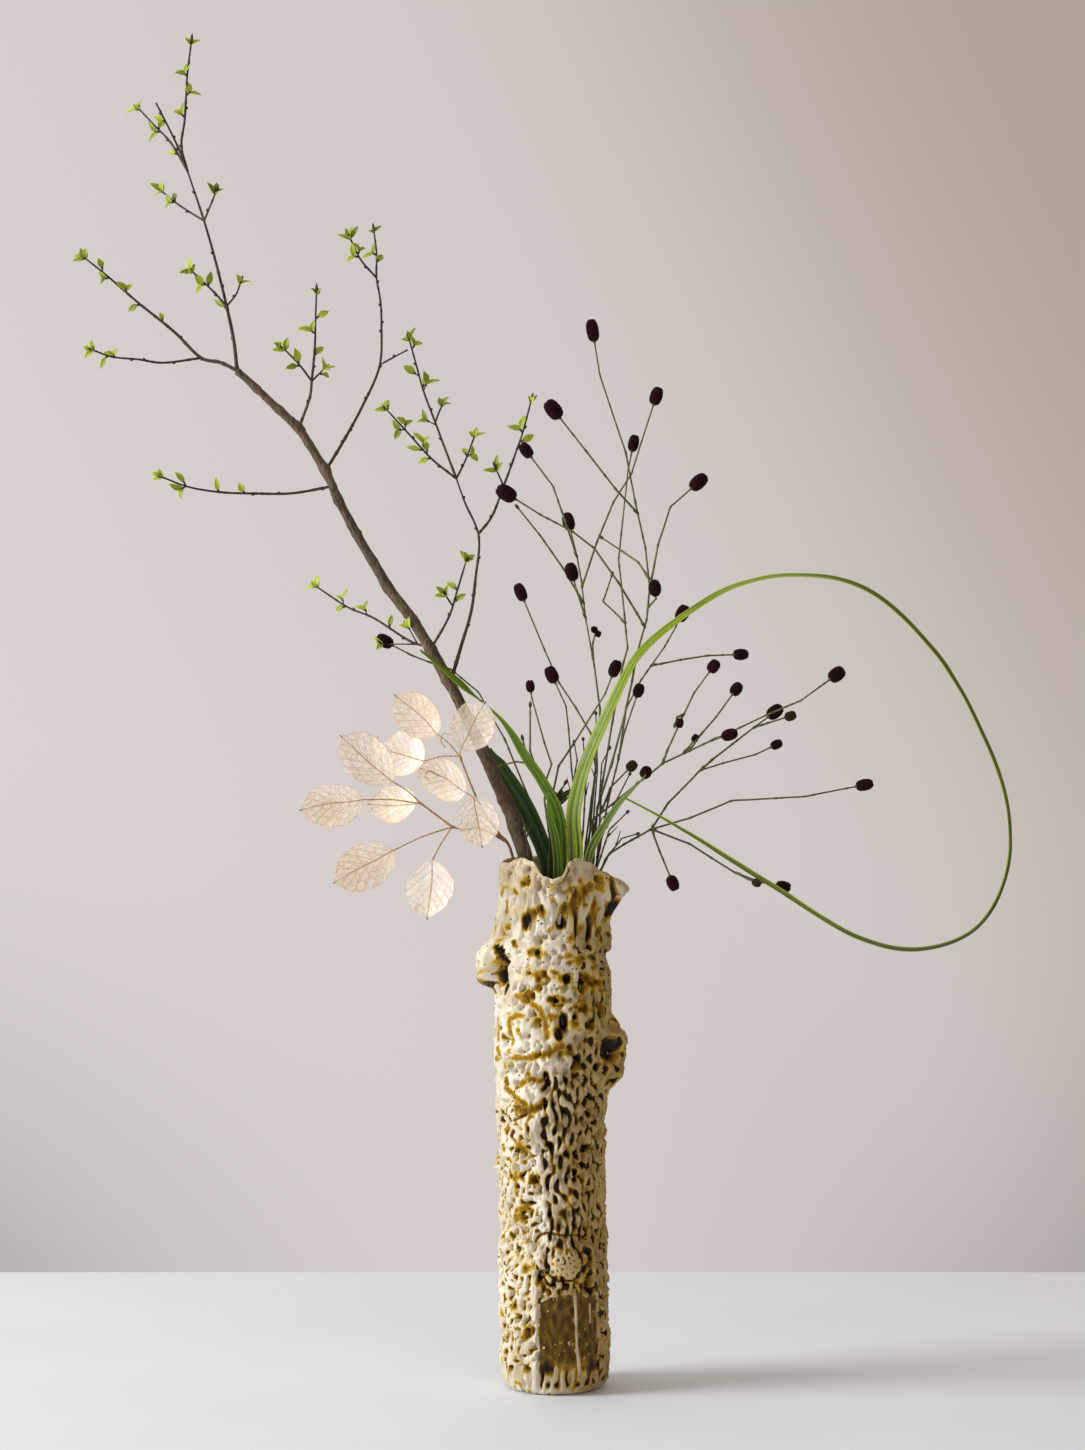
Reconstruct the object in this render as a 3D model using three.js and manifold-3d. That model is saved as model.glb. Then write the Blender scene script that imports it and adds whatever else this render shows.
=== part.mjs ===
// An ikebana arrangement: a budding branch, great burnet, a spray of skeleton leaves
// and strap leaves, standing in water in a tall encrusted ceramic vase.
//
// Millimetres, +Z up. The origin is the middle of the vase's flat foot, the front
// faces -Y, and the long branch leans to -X.
import * as THREE from 'three';
import { mergeVertices } from 'three/addons/utils/BufferGeometryUtils.js';
import Module from 'manifold-3d';

const wasm = await Module();
wasm.setup();

// ---------------------------------------------------------------- driving dimensions

const FOOT_RADIUS = 27;
const FLOOR_THICKNESS = 12;
const WATER_LEVEL = 325;
const GAP = 0.35; // between pieces that rest on or stand in each other
const HOLE_GAP = 0.5; // between a stem and the water round it
const HOLE_SIDES = 5;
const MOUTH_LEVEL = 350; // where the stems' written routes begin
const FOOT_SPREAD = 0.7; // stems draw together by this much on their way down
const STEM_FOOT = FLOOR_THICKNESS + GAP;

const VASE_COLUMNS = 42;
const WATER_COLUMNS = 18;
const VASE_ROW_HEIGHT = 8;
const NET_HEIGHT = 1.3;
const KNOT_FULLNESS = 1.25; // above 1, knots and pits are flatter in their middles
const BODY_BOTTOM = 19;
const BODY_TOP = 318;

const KUBARI_RADIUS = 2.6;
const KUBARI_LEVEL = 336;
const KUBARI_SETBACK = 21;

const BUD_LENGTH = 8;
const BUD_WIDTH = 3.4;
const BUD_THICKNESS = 1.6;
const BLADE_THICKNESS = 0.8;
const STRAP_THICKNESS = 1;
const KEEL_DEPTH = 0.12; // of a strap leaf's half width
const SLOT_HALF_DEPTH = 1.9;
const HEAD_SEAT = 1.4; // how far a burnet stem stands up into its flower head

const COLOURS = {
  glaze: 0xded8cc,
  water: 0xc9d6d2,
  bark: 0x6f6050,
  kubari: 0x9a7a55,
  skeleton: 0xe0cba8,
  strap: 0x6f8c2e,
  strapDark: 0x3d5a1e,
  stem: 0x6e7340,
  burnet: 0x2c0d10,
};

// ---------------------------------------------------------------- small helpers

const v = (x, y, z) => new THREE.Vector3(x, y, z);
const at = (list) => list.map((p) => v(...p));
const degrees = THREE.MathUtils.degToRad;
const smooth = THREE.MathUtils.smoothstep;
const mix = THREE.MathUtils.lerp;

/** A value that runs through [place, value] pairs, held level past both ends. */
function along(pairs, place) {
  for (let i = 1; i < pairs.length; i += 1) {
    const [from, a] = pairs[i - 1];
    const [to, b] = pairs[i];
    if (place < to) {
      return place <= from ? a : mix(a, b, smooth(place, from, to));
    }
  }
  return pairs[pairs.length - 1][1];
}

/** 1 in the middle of a round or oval spot, falling smoothly to 0 at its rim. */
function spot(dx, dz, halfWidth, halfHeight) {
  return 1 - smooth(Math.hypot(dx / halfWidth, dz / halfHeight), 0, 1);
}

/** The signed difference of two angles in degrees, between -180 and 180. */
function turn(a, b) {
  return ((((a - b + 180) % 360) + 360) % 360) - 180;
}

/** The point of some routes that lies nearest to a given point. */
function nearestOn(routes, point) {
  let nearest = routes[0][0];
  const line = new THREE.Line3();
  routes.forEach((route) => {
    for (let i = 1; i < route.length; i += 1) {
      line.set(route[i - 1], route[i]);
      const candidate = line.closestPointToPoint(point, true, v(0, 0, 0));
      if (candidate.distanceTo(point) < nearest.distanceTo(point)) {
        nearest = candidate;
      }
    }
  });
  return nearest.clone();
}

/** A random number generator with a fixed seed. */
function seeded(seed) {
  let state = seed;
  return () => {
    state = (state * 1664525 + 1013904223) % 4294967296;
    return state / 4294967296;
  };
}

// ---------------------------------------------------------------- solids

function toSolid(points, triangles) {
  const mesh = new wasm.Mesh({
    numProp: 3,
    vertProperties: new Float32Array(points.flatMap((p) => [p.x, p.y, p.z])),
    triVerts: new Uint32Array(triangles.flat()),
  });
  return new wasm.Manifold(mesh);
}

function fuse(solids) {
  return solids.reduce((sum, solid) => sum.add(solid));
}

/** A closed skin over rings of points, closed by one point at each end. */
function skin(rings, start, end) {
  const count = rings[0].length;
  const points = [...rings.flat(), start, end];
  const startIndex = points.length - 2;
  const endIndex = points.length - 1;
  const last = (rings.length - 1) * count;
  const triangles = [];
  for (let j = 0; j < count; j += 1) {
    const next = (j + 1) % count;
    triangles.push([startIndex, next, j]);
    triangles.push([endIndex, last + j, last + next]);
    for (let i = 0; i < rings.length - 1; i += 1) {
      const low = i * count;
      const high = low + count;
      triangles.push([low + j, low + next, high + next], [low + j, high + next, high + j]);
    }
  }
  return toSolid(points, triangles);
}

/** Unit tangents along a row of points. */
function tangentsOf(points) {
  return points.map((p, i) => {
    const before = points[Math.max(i - 1, 0)];
    const after = points[Math.min(i + 1, points.length - 1)];
    return after.clone().sub(before).normalize();
  });
}

/** A tapered tube through the points, with one radius for each. */
function tube(points, radii, sides) {
  const tangents = tangentsOf(points);
  let side = v(0.31, 0.9, 0.2).cross(tangents[0]).normalize();
  const rings = points.map((centre, i) => {
    side = side.clone().addScaledVector(tangents[i], -side.dot(tangents[i])).normalize();
    const other = tangents[i].clone().cross(side);
    return Array.from({ length: sides }, (_, j) => {
      const angle = (j / sides) * 2 * Math.PI;
      return centre
        .clone()
        .addScaledVector(side, radii[i] * Math.cos(angle))
        .addScaledVector(other, radii[i] * Math.sin(angle));
    });
  });
  const tip = points.length - 1;
  const start = points[0].clone().addScaledVector(tangents[0], -0.1 * radii[0]);
  const end = points[tip].clone().addScaledVector(tangents[tip], 0.4 * radii[tip]);
  return skin(rings, start, end);
}

/** A tube whose radius goes evenly from one end to the other. */
function taper(points, startRadius, endRadius, sides) {
  const last = points.length - 1;
  const radii = points.map((_, i) => mix(startRadius, endRadius, i / last));
  return tube(points, radii, sides);
}

/** A thin blade over a grid of rows, split into triangles alike on both faces. */
function blade(rows, thickness) {
  const count = rows[0].length;
  const lastRow = rows.length - 1;
  const lastColumn = count - 1;
  const front = [];
  const back = [];
  rows.forEach((row, i) => {
    row.forEach((p, j) => {
      const ahead = rows[Math.min(i + 1, lastRow)][j].clone();
      const run = ahead.sub(rows[Math.max(i - 1, 0)][j]);
      const across = row[Math.min(j + 1, lastColumn)].clone().sub(row[Math.max(j - 1, 0)]);
      const normal = across.cross(run).normalize();
      front.push(p.clone().addScaledVector(normal, thickness / 2));
      back.push(p.clone().addScaledVector(normal, -thickness / 2));
    });
  });
  const size = front.length;
  const triangles = [];
  for (let i = 0; i < lastRow; i += 1) {
    for (let j = 0; j < lastColumn; j += 1) {
      const a = i * count + j;
      const [b, c, d] = [a + 1, a + count + 1, a + count];
      triangles.push([a, b, c], [a, c, d]);
      triangles.push([size + a, size + c, size + b], [size + a, size + d, size + c]);
    }
  }
  const edge = [
    ...Array.from({ length: lastColumn }, (_, j) => j),
    ...Array.from({ length: lastRow }, (_, i) => i * count + lastColumn),
    ...Array.from({ length: lastColumn }, (_, j) => lastRow * count + lastColumn - j),
    ...Array.from({ length: lastRow }, (_, i) => (lastRow - i) * count),
  ];
  edge.forEach((a, i) => {
    const b = edge[(i + 1) % edge.length];
    triangles.push([a, size + b, b], [a, size + a, size + b]);
  });
  return toSolid([...front, ...back], triangles);
}

// ---------------------------------------------------------------- nodes

const arrangement = new THREE.Group();

/** Adds a fused solid to the arrangement as one named mesh. */
function place(name, solid, colour, { roughness = 0.7, opacity = 1 } = {}) {
  const mesh = solid.getMesh();
  const geometry = new THREE.BufferGeometry();
  geometry.setAttribute('position', new THREE.BufferAttribute(mesh.vertProperties, 3));
  geometry.setIndex(new THREE.BufferAttribute(mesh.triVerts, 1));
  const material = new THREE.MeshStandardMaterial({ color: colour, roughness, metalness: 0 });
  material.transparent = opacity < 1;
  material.opacity = opacity;
  const node = new THREE.Mesh(mergeVertices(geometry, 1e-4), material);
  node.name = name;
  arrangement.add(node);
}

// ---------------------------------------------------------------- vase

// The outline from the front: distance of the left and right sides from the axis.
const LEFT_SIDE = [
  [20, 38], [60, 37.5], [117, 37.8], [149, 39.5], [190, 40.5], [267, 42], [300, 40.5], [340, 40],
];
const RIGHT_SIDE = [
  [20, 38], [69, 37.7], [97, 37], [118, 35.5], [150, 34.8], [181, 34.8], [208, 36.5],
  [262, 40], [288, 39.5], [300, 36.5], [316, 36], [340, 38.8],
];
const INNER_WALL = [[20, 30], [120, 30], [150, 29], [190, 29], [260, 32], [300, 31.5], [345, 33.6]];

// Height of the rim round the mouth, by angle: -90 is the front, 0 the right side.
const RIM = [
  [-180, 367], [-154, 367], [-128, 371], [-114, 369], [-99, 358], [-92, 356], [-84, 358],
  [-74, 369], [-66, 371], [-50, 368], [-34, 363], [-18, 357], [14, 357], [60, 366], [100, 370],
  [150, 369], [180, 367],
];

// Rows over the rim as [radius, height above the rim line]: the plain wall, the lip that
// rolls outwards at the notch in front, and the pointed beak on the right.
const PLAIN_RIM = [
  [39, -30], [39.2, -20], [39, -10], [38.4, -3], [36.8, 0], [35, -2], [34.2, -7], [33.8, -15],
];
const CURLED_RIM = [
  [38.6, -30], [38.8, -18], [39.6, -9], [42.4, -5.5], [43, -1], [40, 0.8], [36.4, -3], [34, -14],
];
const BEAK_RIM = [
  [37.6, -38], [39, -34], [43.5, -24], [49, -15], [53.6, -8], [45, -1], [36, -2], [33.8, -15],
];
const CURL = { angle: -92, wide: 34 };
const BEAK = { angle: -14, wide: 34 };
const INNER_LEVELS = [300, 250, 190, 120, 20];

// Knots pushed out of the wall and pits pushed into it: angle, height, half width in
// degrees, half height, push outwards and drop.
const KNOTS = [
  { name: 'left nub', angle: -172, z: 300, wide: 23, high: 25, push: 14.5, drop: -6 },
  { name: 'right knot', angle: -10, z: 234, wide: 30, high: 32, push: 11.5, drop: -3 },
  { name: 'right hollow', angle: -24, z: 238, wide: 15, high: 14, push: -9, drop: 0 },
  { name: 'right lug', angle: -8, z: 312, wide: 15, high: 12, push: 4, drop: 0 },
  { name: 'front boss', angle: -78, z: 92, wide: 25, high: 16, push: 4.5, drop: 0 },
  { name: 'upper left pit', angle: -120, z: 326, wide: 10, high: 9, push: -5, drop: 0 },
  { name: 'upper middle pit', angle: -84, z: 324, wide: 10, high: 8, push: -5, drop: 0 },
  { name: 'upper right slots', angle: -56, z: 316, wide: 11, high: 17, push: -5, drop: 0 },
  { name: 'middle right pit', angle: -60, z: 284, wide: 9, high: 10, push: -4, drop: 0 },
  { name: 'middle pit', angle: -82, z: 258, wide: 9, high: 10, push: -4, drop: 0 },
  { name: 'lower left pit', angle: -99, z: 217, wide: 8, high: 11, push: -4, drop: 0 },
  { name: 'left crevice', angle: -152, z: 292, wide: 9, high: 14, push: -4, drop: 0 },
];

// A smooth sunk panel low on the front, which the net leaves free.
const PANEL = { angle: -73, wide: 36, top: 64, bottom: 16, depth: 1 };

/** Height of the vase's encrusted net: tall staggered cells of ridges and hollows. */
function net(angle, z) {
  const wander = 0.9 * Math.sin(z / 37) + 0.5 * Math.sin(z / 13 + 1);
  const cells = Math.cos(9 * degrees(angle) + wander) * Math.cos(z / 5.6 + Math.sin(4 * degrees(angle)));
  const swell = Math.cos(5 * degrees(angle) - z / 23) + Math.cos(3 * degrees(angle) + z / 31);
  const height = NET_HEIGHT * cells * mix(1, 0.45, smooth(z, 235, 270)) + 0.5 * swell;
  const inside = smooth(PANEL.wide - Math.abs(turn(angle, PANEL.angle)), -3, 3);
  const level = smooth(z, PANEL.bottom, PANEL.bottom + 6) * smooth(PANEL.top - z, -3, 3);
  return mix(height, -PANEL.depth, inside * level);
}

/** A point of the vase's outside at a height, with its net, knots and pits. */
function wallPoint(angle, z, radius, relief) {
  let reach = radius + relief * net(angle, z);
  let height = z;
  for (const knot of KNOTS) {
    const near = spot(turn(angle, knot.angle), z - knot.z, knot.wide, knot.high);
    const strength = relief * Math.sin((Math.PI / 2) * Math.min(1, KNOT_FULLNESS * near));
    reach += strength * knot.push;
    height += strength * knot.drop;
  }
  return v(reach * Math.cos(degrees(angle)), reach * Math.sin(degrees(angle)), height);
}

function vaseRings() {
  const angles = Array.from({ length: VASE_COLUMNS }, (_, j) => -180 + (j * 360) / VASE_COLUMNS);
  const ring = (make) => angles.map(make);
  const plain = (radius, z) => ring((a) => wallPoint(a, z, radius, 0));
  const rings = [plain(FOOT_RADIUS, 0), plain(33.5, 2.2), plain(36.6, 6.5), plain(37.8, 12)];
  const bodyRows = Math.round((BODY_TOP - BODY_BOTTOM) / VASE_ROW_HEIGHT);
  for (let i = 0; i <= bodyRows; i += 1) {
    const z = mix(BODY_BOTTOM, BODY_TOP, i / bodyRows);
    rings.push(ring((a) => {
      const right = (1 + Math.cos(degrees(a))) / 2;
      const radius = mix(along(LEFT_SIDE, z), along(RIGHT_SIDE, z), right);
      return wallPoint(a, z, radius, smooth(z, 14, 34));
    }));
  }
  PLAIN_RIM.forEach((base, row) => {
    rings.push(ring((a) => {
      const curl = spot(turn(a, CURL.angle), 0, CURL.wide, 1);
      const beak = spot(turn(a, BEAK.angle), 0, BEAK.wide, 1);
      const [radius, rise] = [0, 1].map(
        (k) => base[k] + curl * (CURLED_RIM[row][k] - base[k]) + beak * (BEAK_RIM[row][k] - base[k]),
      );
      return wallPoint(a, along(RIM, a) + rise, radius, row < 3 ? 0.5 : 0);
    }));
  });
  INNER_LEVELS.forEach((z) => rings.push(plain(along(INNER_WALL, z), z)));
  rings.push(plain(26, FLOOR_THICKNESS));
  return rings;
}

const vase = skin(vaseRings(), v(0, 0, 0), v(0, 0, FLOOR_THICKNESS));
place('vase', vase, COLOURS.glaze, { roughness: 0.25 });

// ---------------------------------------------------------------- stems in the water

const holes = [];

/** The part of a stem inside the vase, and the hole that it needs in the water. */
function foot(mouth, radius) {
  const low = v(mouth.x * FOOT_SPREAD, mouth.y * FOOT_SPREAD, STEM_FOOT + 0.15 * radius);
  const wide = (1.12 * radius + HOLE_GAP) / Math.cos(Math.PI / HOLE_SIDES);
  holes.push(taper([low.clone().setZ(0), mouth], wide, wide, HOLE_SIDES));
  return low;
}

// ---------------------------------------------------------------- budding branch

/** A young leaf: a small keeled spindle that grows from a point in a direction. */
function bud(root, direction, length = BUD_LENGTH, width = BUD_WIDTH) {
  const forward = direction.clone().normalize();
  const side = forward.clone().cross(v(0.1, 1, 0.05)).normalize();
  const face = side.clone().cross(forward);
  const base = root.clone().addScaledVector(forward, -0.12 * length);
  const middle = root.clone().addScaledVector(forward, 0.42 * length);
  const ring = [
    middle.clone().addScaledVector(side, width / 2),
    middle.clone().addScaledVector(side, -width / 2),
    middle.clone().addScaledVector(face, BUD_THICKNESS),
  ];
  const tip = root.clone().addScaledVector(forward, length);
  return skin([ring], base, tip);
}

/** Three young leaves that open from one bud at the end of a twig. */
function cluster(tip, direction, random) {
  const side = direction.clone().cross(v(0.1, 1, 0)).normalize();
  const face = side.clone().cross(direction);
  const star = (forward, reach, notch) => Array.from({ length: 6 }, (_, j) => {
    const angle = (j / 6) * 2 * Math.PI + 0.5;
    const leaf = j % 2 === 0;
    const out = leaf ? reach * (0.8 + 0.4 * random()) : notch;
    const up = leaf ? forward * (0.8 + 0.4 * random()) : 0.3 * forward;
    return tip
      .clone()
      .addScaledVector(direction, up)
      .addScaledVector(side, -out * Math.cos(angle))
      .addScaledVector(face, out * Math.sin(angle));
  });
  const base = tip.clone().addScaledVector(direction, -1.2);
  const heart = tip.clone().addScaledVector(direction, 0.6 * BUD_LENGTH);
  const [low, high] = [star(0.3, 1.5, 1.2), star(0.85 * BUD_LENGTH, 0.6 * BUD_LENGTH, 0.9)];
  return skin([low, high], base, heart);
}

const BRANCH_MOUTH = v(-19, 8, MOUTH_LEVEL);
const LIMB = [
  [-21, 8, 372], [-31, 9, 402], [-50, 11, 444], [-66, 13, 477], [-75, 14, 495], [-86, 16, 514],
  [-100, 18, 537], [-117, 21, 559], [-139, 25, 596], [-153, 26, 622], [-162, 27, 643],
  [-181, 28, 673], [-194, 29, 685], [-212, 29, 702], [-225, 30, 714],
];

// Shoots of the branch: their route, thickness at the root, and how many buds they bear.
const SHOOTS = [
  {
    radius: 3, buds: 5,
    route: [
      [-225, 30, 714], [-237, 32, 720], [-250, 34, 723], [-270, 36, 742], [-296, 34, 763],
      [-317, 26, 781], [-331, 20, 792],
    ],
  },
  {
    radius: 1.7, buds: 4,
    route: [
      [-250, 33, 723], [-277, 16, 718], [-291, 5, 719], [-309, -14, 719], [-319, -25, 722],
    ],
  },
  {
    radius: 3, buds: 4,
    route: [
      [-225, 30, 714], [-227, 28, 734], [-232, 26, 759], [-240, 20, 793], [-247, 17, 818],
      [-258, 12, 852],
    ],
  },
  {
    radius: 1.8, buds: 4,
    route: [
      [-258, 12, 852], [-262, 8, 869], [-259, 3, 888], [-257, -1, 916], [-254, -4, 938],
    ],
  },
  { route: [[-258, 12, 852], [-271, 20, 874], [-283, 25, 887], [-294, 31, 899]], radius: 1.5, buds: 2 },
  { route: [[-258, 12, 852], [-264, 2, 868], [-271, -8, 883], [-277, -16, 895]], radius: 1.5, buds: 2 },
  { route: [[-247, 17, 818], [-241, 8, 829], [-238, 4, 835]], radius: 1.4, buds: 0 },
  { route: [[-247, 17, 818], [-266, 26, 831], [-278, 32, 841]], radius: 1.5, buds: 1 },
  { route: [[-232, 26, 759], [-226, 38, 770], [-224, 42, 777]], radius: 1.4, buds: 0 },
  { route: [[-232, 26, 759], [-240, 21, 768], [-254, 12, 781]], radius: 1.5, buds: 1 },
  {
    radius: 2.2, buds: 4,
    route: [
      [-181, 28, 673], [-178, 24, 680], [-172, 13, 694], [-170, 2, 704], [-167, -10, 726],
      [-166, -18, 743], [-165, -24, 761],
    ],
  },
  { route: [[-170, 2, 704], [-178, -8, 714], [-187, -18, 723]], radius: 1.4, buds: 1 },
  { route: [[-170, 2, 704], [-163, 10, 712]], radius: 1.3, buds: 0 },
  {
    radius: 2.4, buds: 6,
    route: [
      [-162, 27, 643], [-149, 35, 666], [-136, 44, 692], [-125, 52, 720], [-124, 58, 749],
      [-125, 62, 768], [-128, 66, 785], [-128, 69, 802], [-130, 72, 818],
    ],
  },
  { route: [[-128, 66, 785], [-139, 60, 797], [-146, 54, 811]], radius: 1.4, buds: 1 },
  { route: [[-125, 52, 720], [-115, 52, 726], [-105, 50, 731]], radius: 1, buds: 0 },
  {
    radius: 2, buds: 6,
    route: [
      [-160, 27, 630], [-185, 16, 626], [-210, 4, 625], [-233, -9, 625], [-254, -17, 628],
      [-271, -24, 634],
    ],
  },
  {
    radius: 3, buds: 4,
    route: [
      [-73, 14, 492], [-66, 21, 518], [-59, 28, 543], [-56, 35, 567], [-54, 43, 598],
      [-64, 47, 622], [-70, 50, 639],
    ],
  },
  { route: [[-70, 50, 639], [-87, 41, 652], [-103, 32, 669], [-118, 22, 685]], radius: 1.6, buds: 4 },
  {
    radius: 1.7, buds: 5,
    route: [
      [-70, 50, 639], [-81, 55, 668], [-85, 57, 679], [-94, 59, 703], [-99, 61, 721],
      [-104, 62, 739],
    ],
  },
  { route: [[-85, 57, 679], [-83, 61, 687], [-81, 64, 692]], radius: 1.2, buds: 0 },
  { route: [[-70, 50, 639], [-64, 57, 652], [-58, 66, 669]], radius: 1.4, buds: 1 },
  {
    radius: 1.8, buds: 5,
    route: [
      [-54, 43, 598], [-45, 47, 611], [-36, 49, 634], [-29, 47, 653], [-22, 44, 673],
      [-17, 42, 692],
    ],
  },
  { route: [[-36, 49, 634], [-41, 42, 644]], radius: 1.2, buds: 0 },
  { route: [[-87, 16, 516], [-74, 8, 539], [-68, 0, 557], [-62, -8, 576]], radius: 2, buds: 3 },
  { route: [[-72, 4, 545], [-76, -5, 553]], radius: 1.2, buds: 0 },
  {
    radius: 1.8, buds: 5,
    route: [
      [-90, 16, 517], [-100, 20, 521], [-129, 31, 539], [-146, 37, 546], [-169, 46, 561],
    ],
  },
  { route: [[-118, 21, 560], [-121, 14, 570]], radius: 1.2, buds: 0 },
];

function shoot({ route, radius, buds }, grown, random) {
  const points = at(route);
  points[0] = nearestOn(grown, points[0]);
  grown.push(points);
  const last = points.length - 1;
  const solids = [taper(points, radius, 0.55 * radius + 0.25, 4)];
  const curve = new THREE.CatmullRomCurve3(points, false, 'centripetal');
  const count = Math.ceil(buds / 2);
  for (let i = 1; i <= count; i += 1) {
    const where = i / (count + 1);
    const forward = curve.getTangentAt(where);
    const side = forward.clone().cross(v(0, 1, 0)).normalize();
    const hand = i % 2 === 0 ? 1 : -1;
    const aim = forward.addScaledVector(side, 1.1 * hand);
    aim.y += random() - 0.5;
    solids.push(bud(curve.getPointAt(where), aim, BUD_LENGTH * (0.9 + 0.4 * random())));
  }
  const end = points[last];
  const direction = end.clone().sub(points[last - 1]).normalize();
  return [...solids, cluster(end, direction, random)];
}

function branch() {
  const random = seeded(11);
  const points = [foot(BRANCH_MOUTH, 7), BRANCH_MOUTH, ...at(LIMB)];
  const radii = points.map((p) => along([[0, 6.2], [372, 6], [495, 5], [643, 4.2], [714, 3.2]], p.z));
  const grown = [points];
  return fuse([tube(points, radii, 7), ...SHOOTS.flatMap((item) => shoot(item, grown, random))]);
}

place('branch', branch(), COLOURS.bark);

// ---------------------------------------------------------------- skeleton leaves

const SPRAY_MOUTH = v(-25, -9, MOUTH_LEVEL);
const SPRAY_TWIGS = [
  [[-28, -9, 366], [-33, -11, 381], [-41, -12, 388]],
  [[-33, -11, 381], [-53, -14, 391], [-63, -17, 390], [-71, -20, 392]],
  [[-71, -20, 392], [-92, -26, 408]],
  [[-38, -12, 386], [-49, -14, 402], [-56, -16, 416], [-66, -14, 441]],
];

// Skeleton leaves: where the leaf stalk starts, the leaf's base and tip, its width,
// and how far it is rolled round its own midrib, in degrees.
const SKELETONS = [
  { stalk: [-92, -26, 408], base: [-112, -33, 424], tip: [-147, -39, 455], width: 32, roll: 10 },
  { stalk: [-92, -26, 408], base: [-132, -36, 411], tip: [-174, -46, 404], width: 31, roll: -14 },
  { stalk: [-66, -14, 441], base: [-91, -9, 438], tip: [-122, -1, 447], width: 34, roll: 14 },
  { stalk: [-66, -14, 441], base: [-82, -12, 456], tip: [-111, -18, 483], width: 31, roll: -18 },
  { stalk: [-66, -14, 441], base: [-65, -16, 446], tip: [-48, -20, 478], width: 32, roll: 10 },
  { stalk: [-49, -14, 402], base: [-56, -21, 413], tip: [-50, -28, 379], width: 30, roll: -8 },
  { stalk: [-71, -20, 392], base: [-111, -37, 376], tip: [-151, -43, 354], width: 33, roll: -14 },
  { stalk: [-71, -20, 392], base: [-85, -29, 369], tip: [-88, -37, 330], width: 34, roll: 12 },
  { stalk: [-92, -26, 408], base: [-96, -20, 409], tip: [-130, -12, 408], width: 30, roll: 30 },
  { stalk: [-53, -14, 407], base: [-62, -10, 415], tip: [-96, -2, 433], width: 30, roll: -24 },
];

const LEAF_ROWS = 7;
const LEAF_COLUMNS = [-1, -0.5, 0, 0.5, 1];
const LEAF_FORM = [[0, 0.14], [0.16, 0.72], [0.46, 1], [0.7, 0.9], [0.88, 0.52], [1, 0.05]];

/** A crinkled skeleton leaf with raised midrib and side veins and a toothed edge. */
function skeletonLeaf({ base, tip, width, roll }) {
  const [root, end] = at([base, tip]);
  const length = end.clone().sub(root);
  const forward = length.clone().normalize();
  const flat = forward.clone().cross(v(0, 1, 0)).normalize();
  const lift = flat.clone().cross(forward);
  const across = flat.clone().applyAxisAngle(forward, degrees(roll));
  const normal = lift.clone().applyAxisAngle(forward, degrees(roll));
  const rows = [];
  for (let i = 0; i < LEAF_ROWS; i += 1) {
    const run = i / (LEAF_ROWS - 1);
    const half = (width / 2) * along(LEAF_FORM, run);
    const vein = i % 2 === 1 ? 1 : -1;
    rows.push(LEAF_COLUMNS.map((column) => {
      const out = Math.abs(column);
      const tooth = out === 1 ? 1 + 0.09 * vein : 1;
      const hump = Math.sin(Math.PI * run);
      const sweep = 0.1 * out * hump;
      const ridge = smooth(run, 0, 0.16) * (1.1 * (1 - out) + 0.55 * vein * out * (1.4 - out));
      return root
        .clone()
        .addScaledVector(length, run + sweep)
        .addScaledVector(across, column * half * tooth)
        .addScaledVector(normal, ridge + (3.5 - 3 * out * out) * hump);
    }));
  }
  return blade(rows, BLADE_THICKNESS);
}

function skeletonSpray() {
  const solids = [taper([foot(SPRAY_MOUTH, 1.8), SPRAY_MOUTH, ...at(SPRAY_TWIGS[0])], 1.8, 1.4, 5)];
  SPRAY_TWIGS.slice(1).forEach((route) => solids.push(taper(at(route), 1.3, 1, 5)));
  SKELETONS.forEach((leaf) => {
    const [stalk, base, tip] = at([leaf.stalk, leaf.base, leaf.tip]);
    solids.push(taper([stalk, base.lerp(tip, 0.03)], 0.9, 0.8, 3), skeletonLeaf(leaf));
  });
  return fuse(solids);
}

place('skeleton_leaf_spray', skeletonSpray(), COLOURS.skeleton);

// ---------------------------------------------------------------- strap leaves

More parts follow.
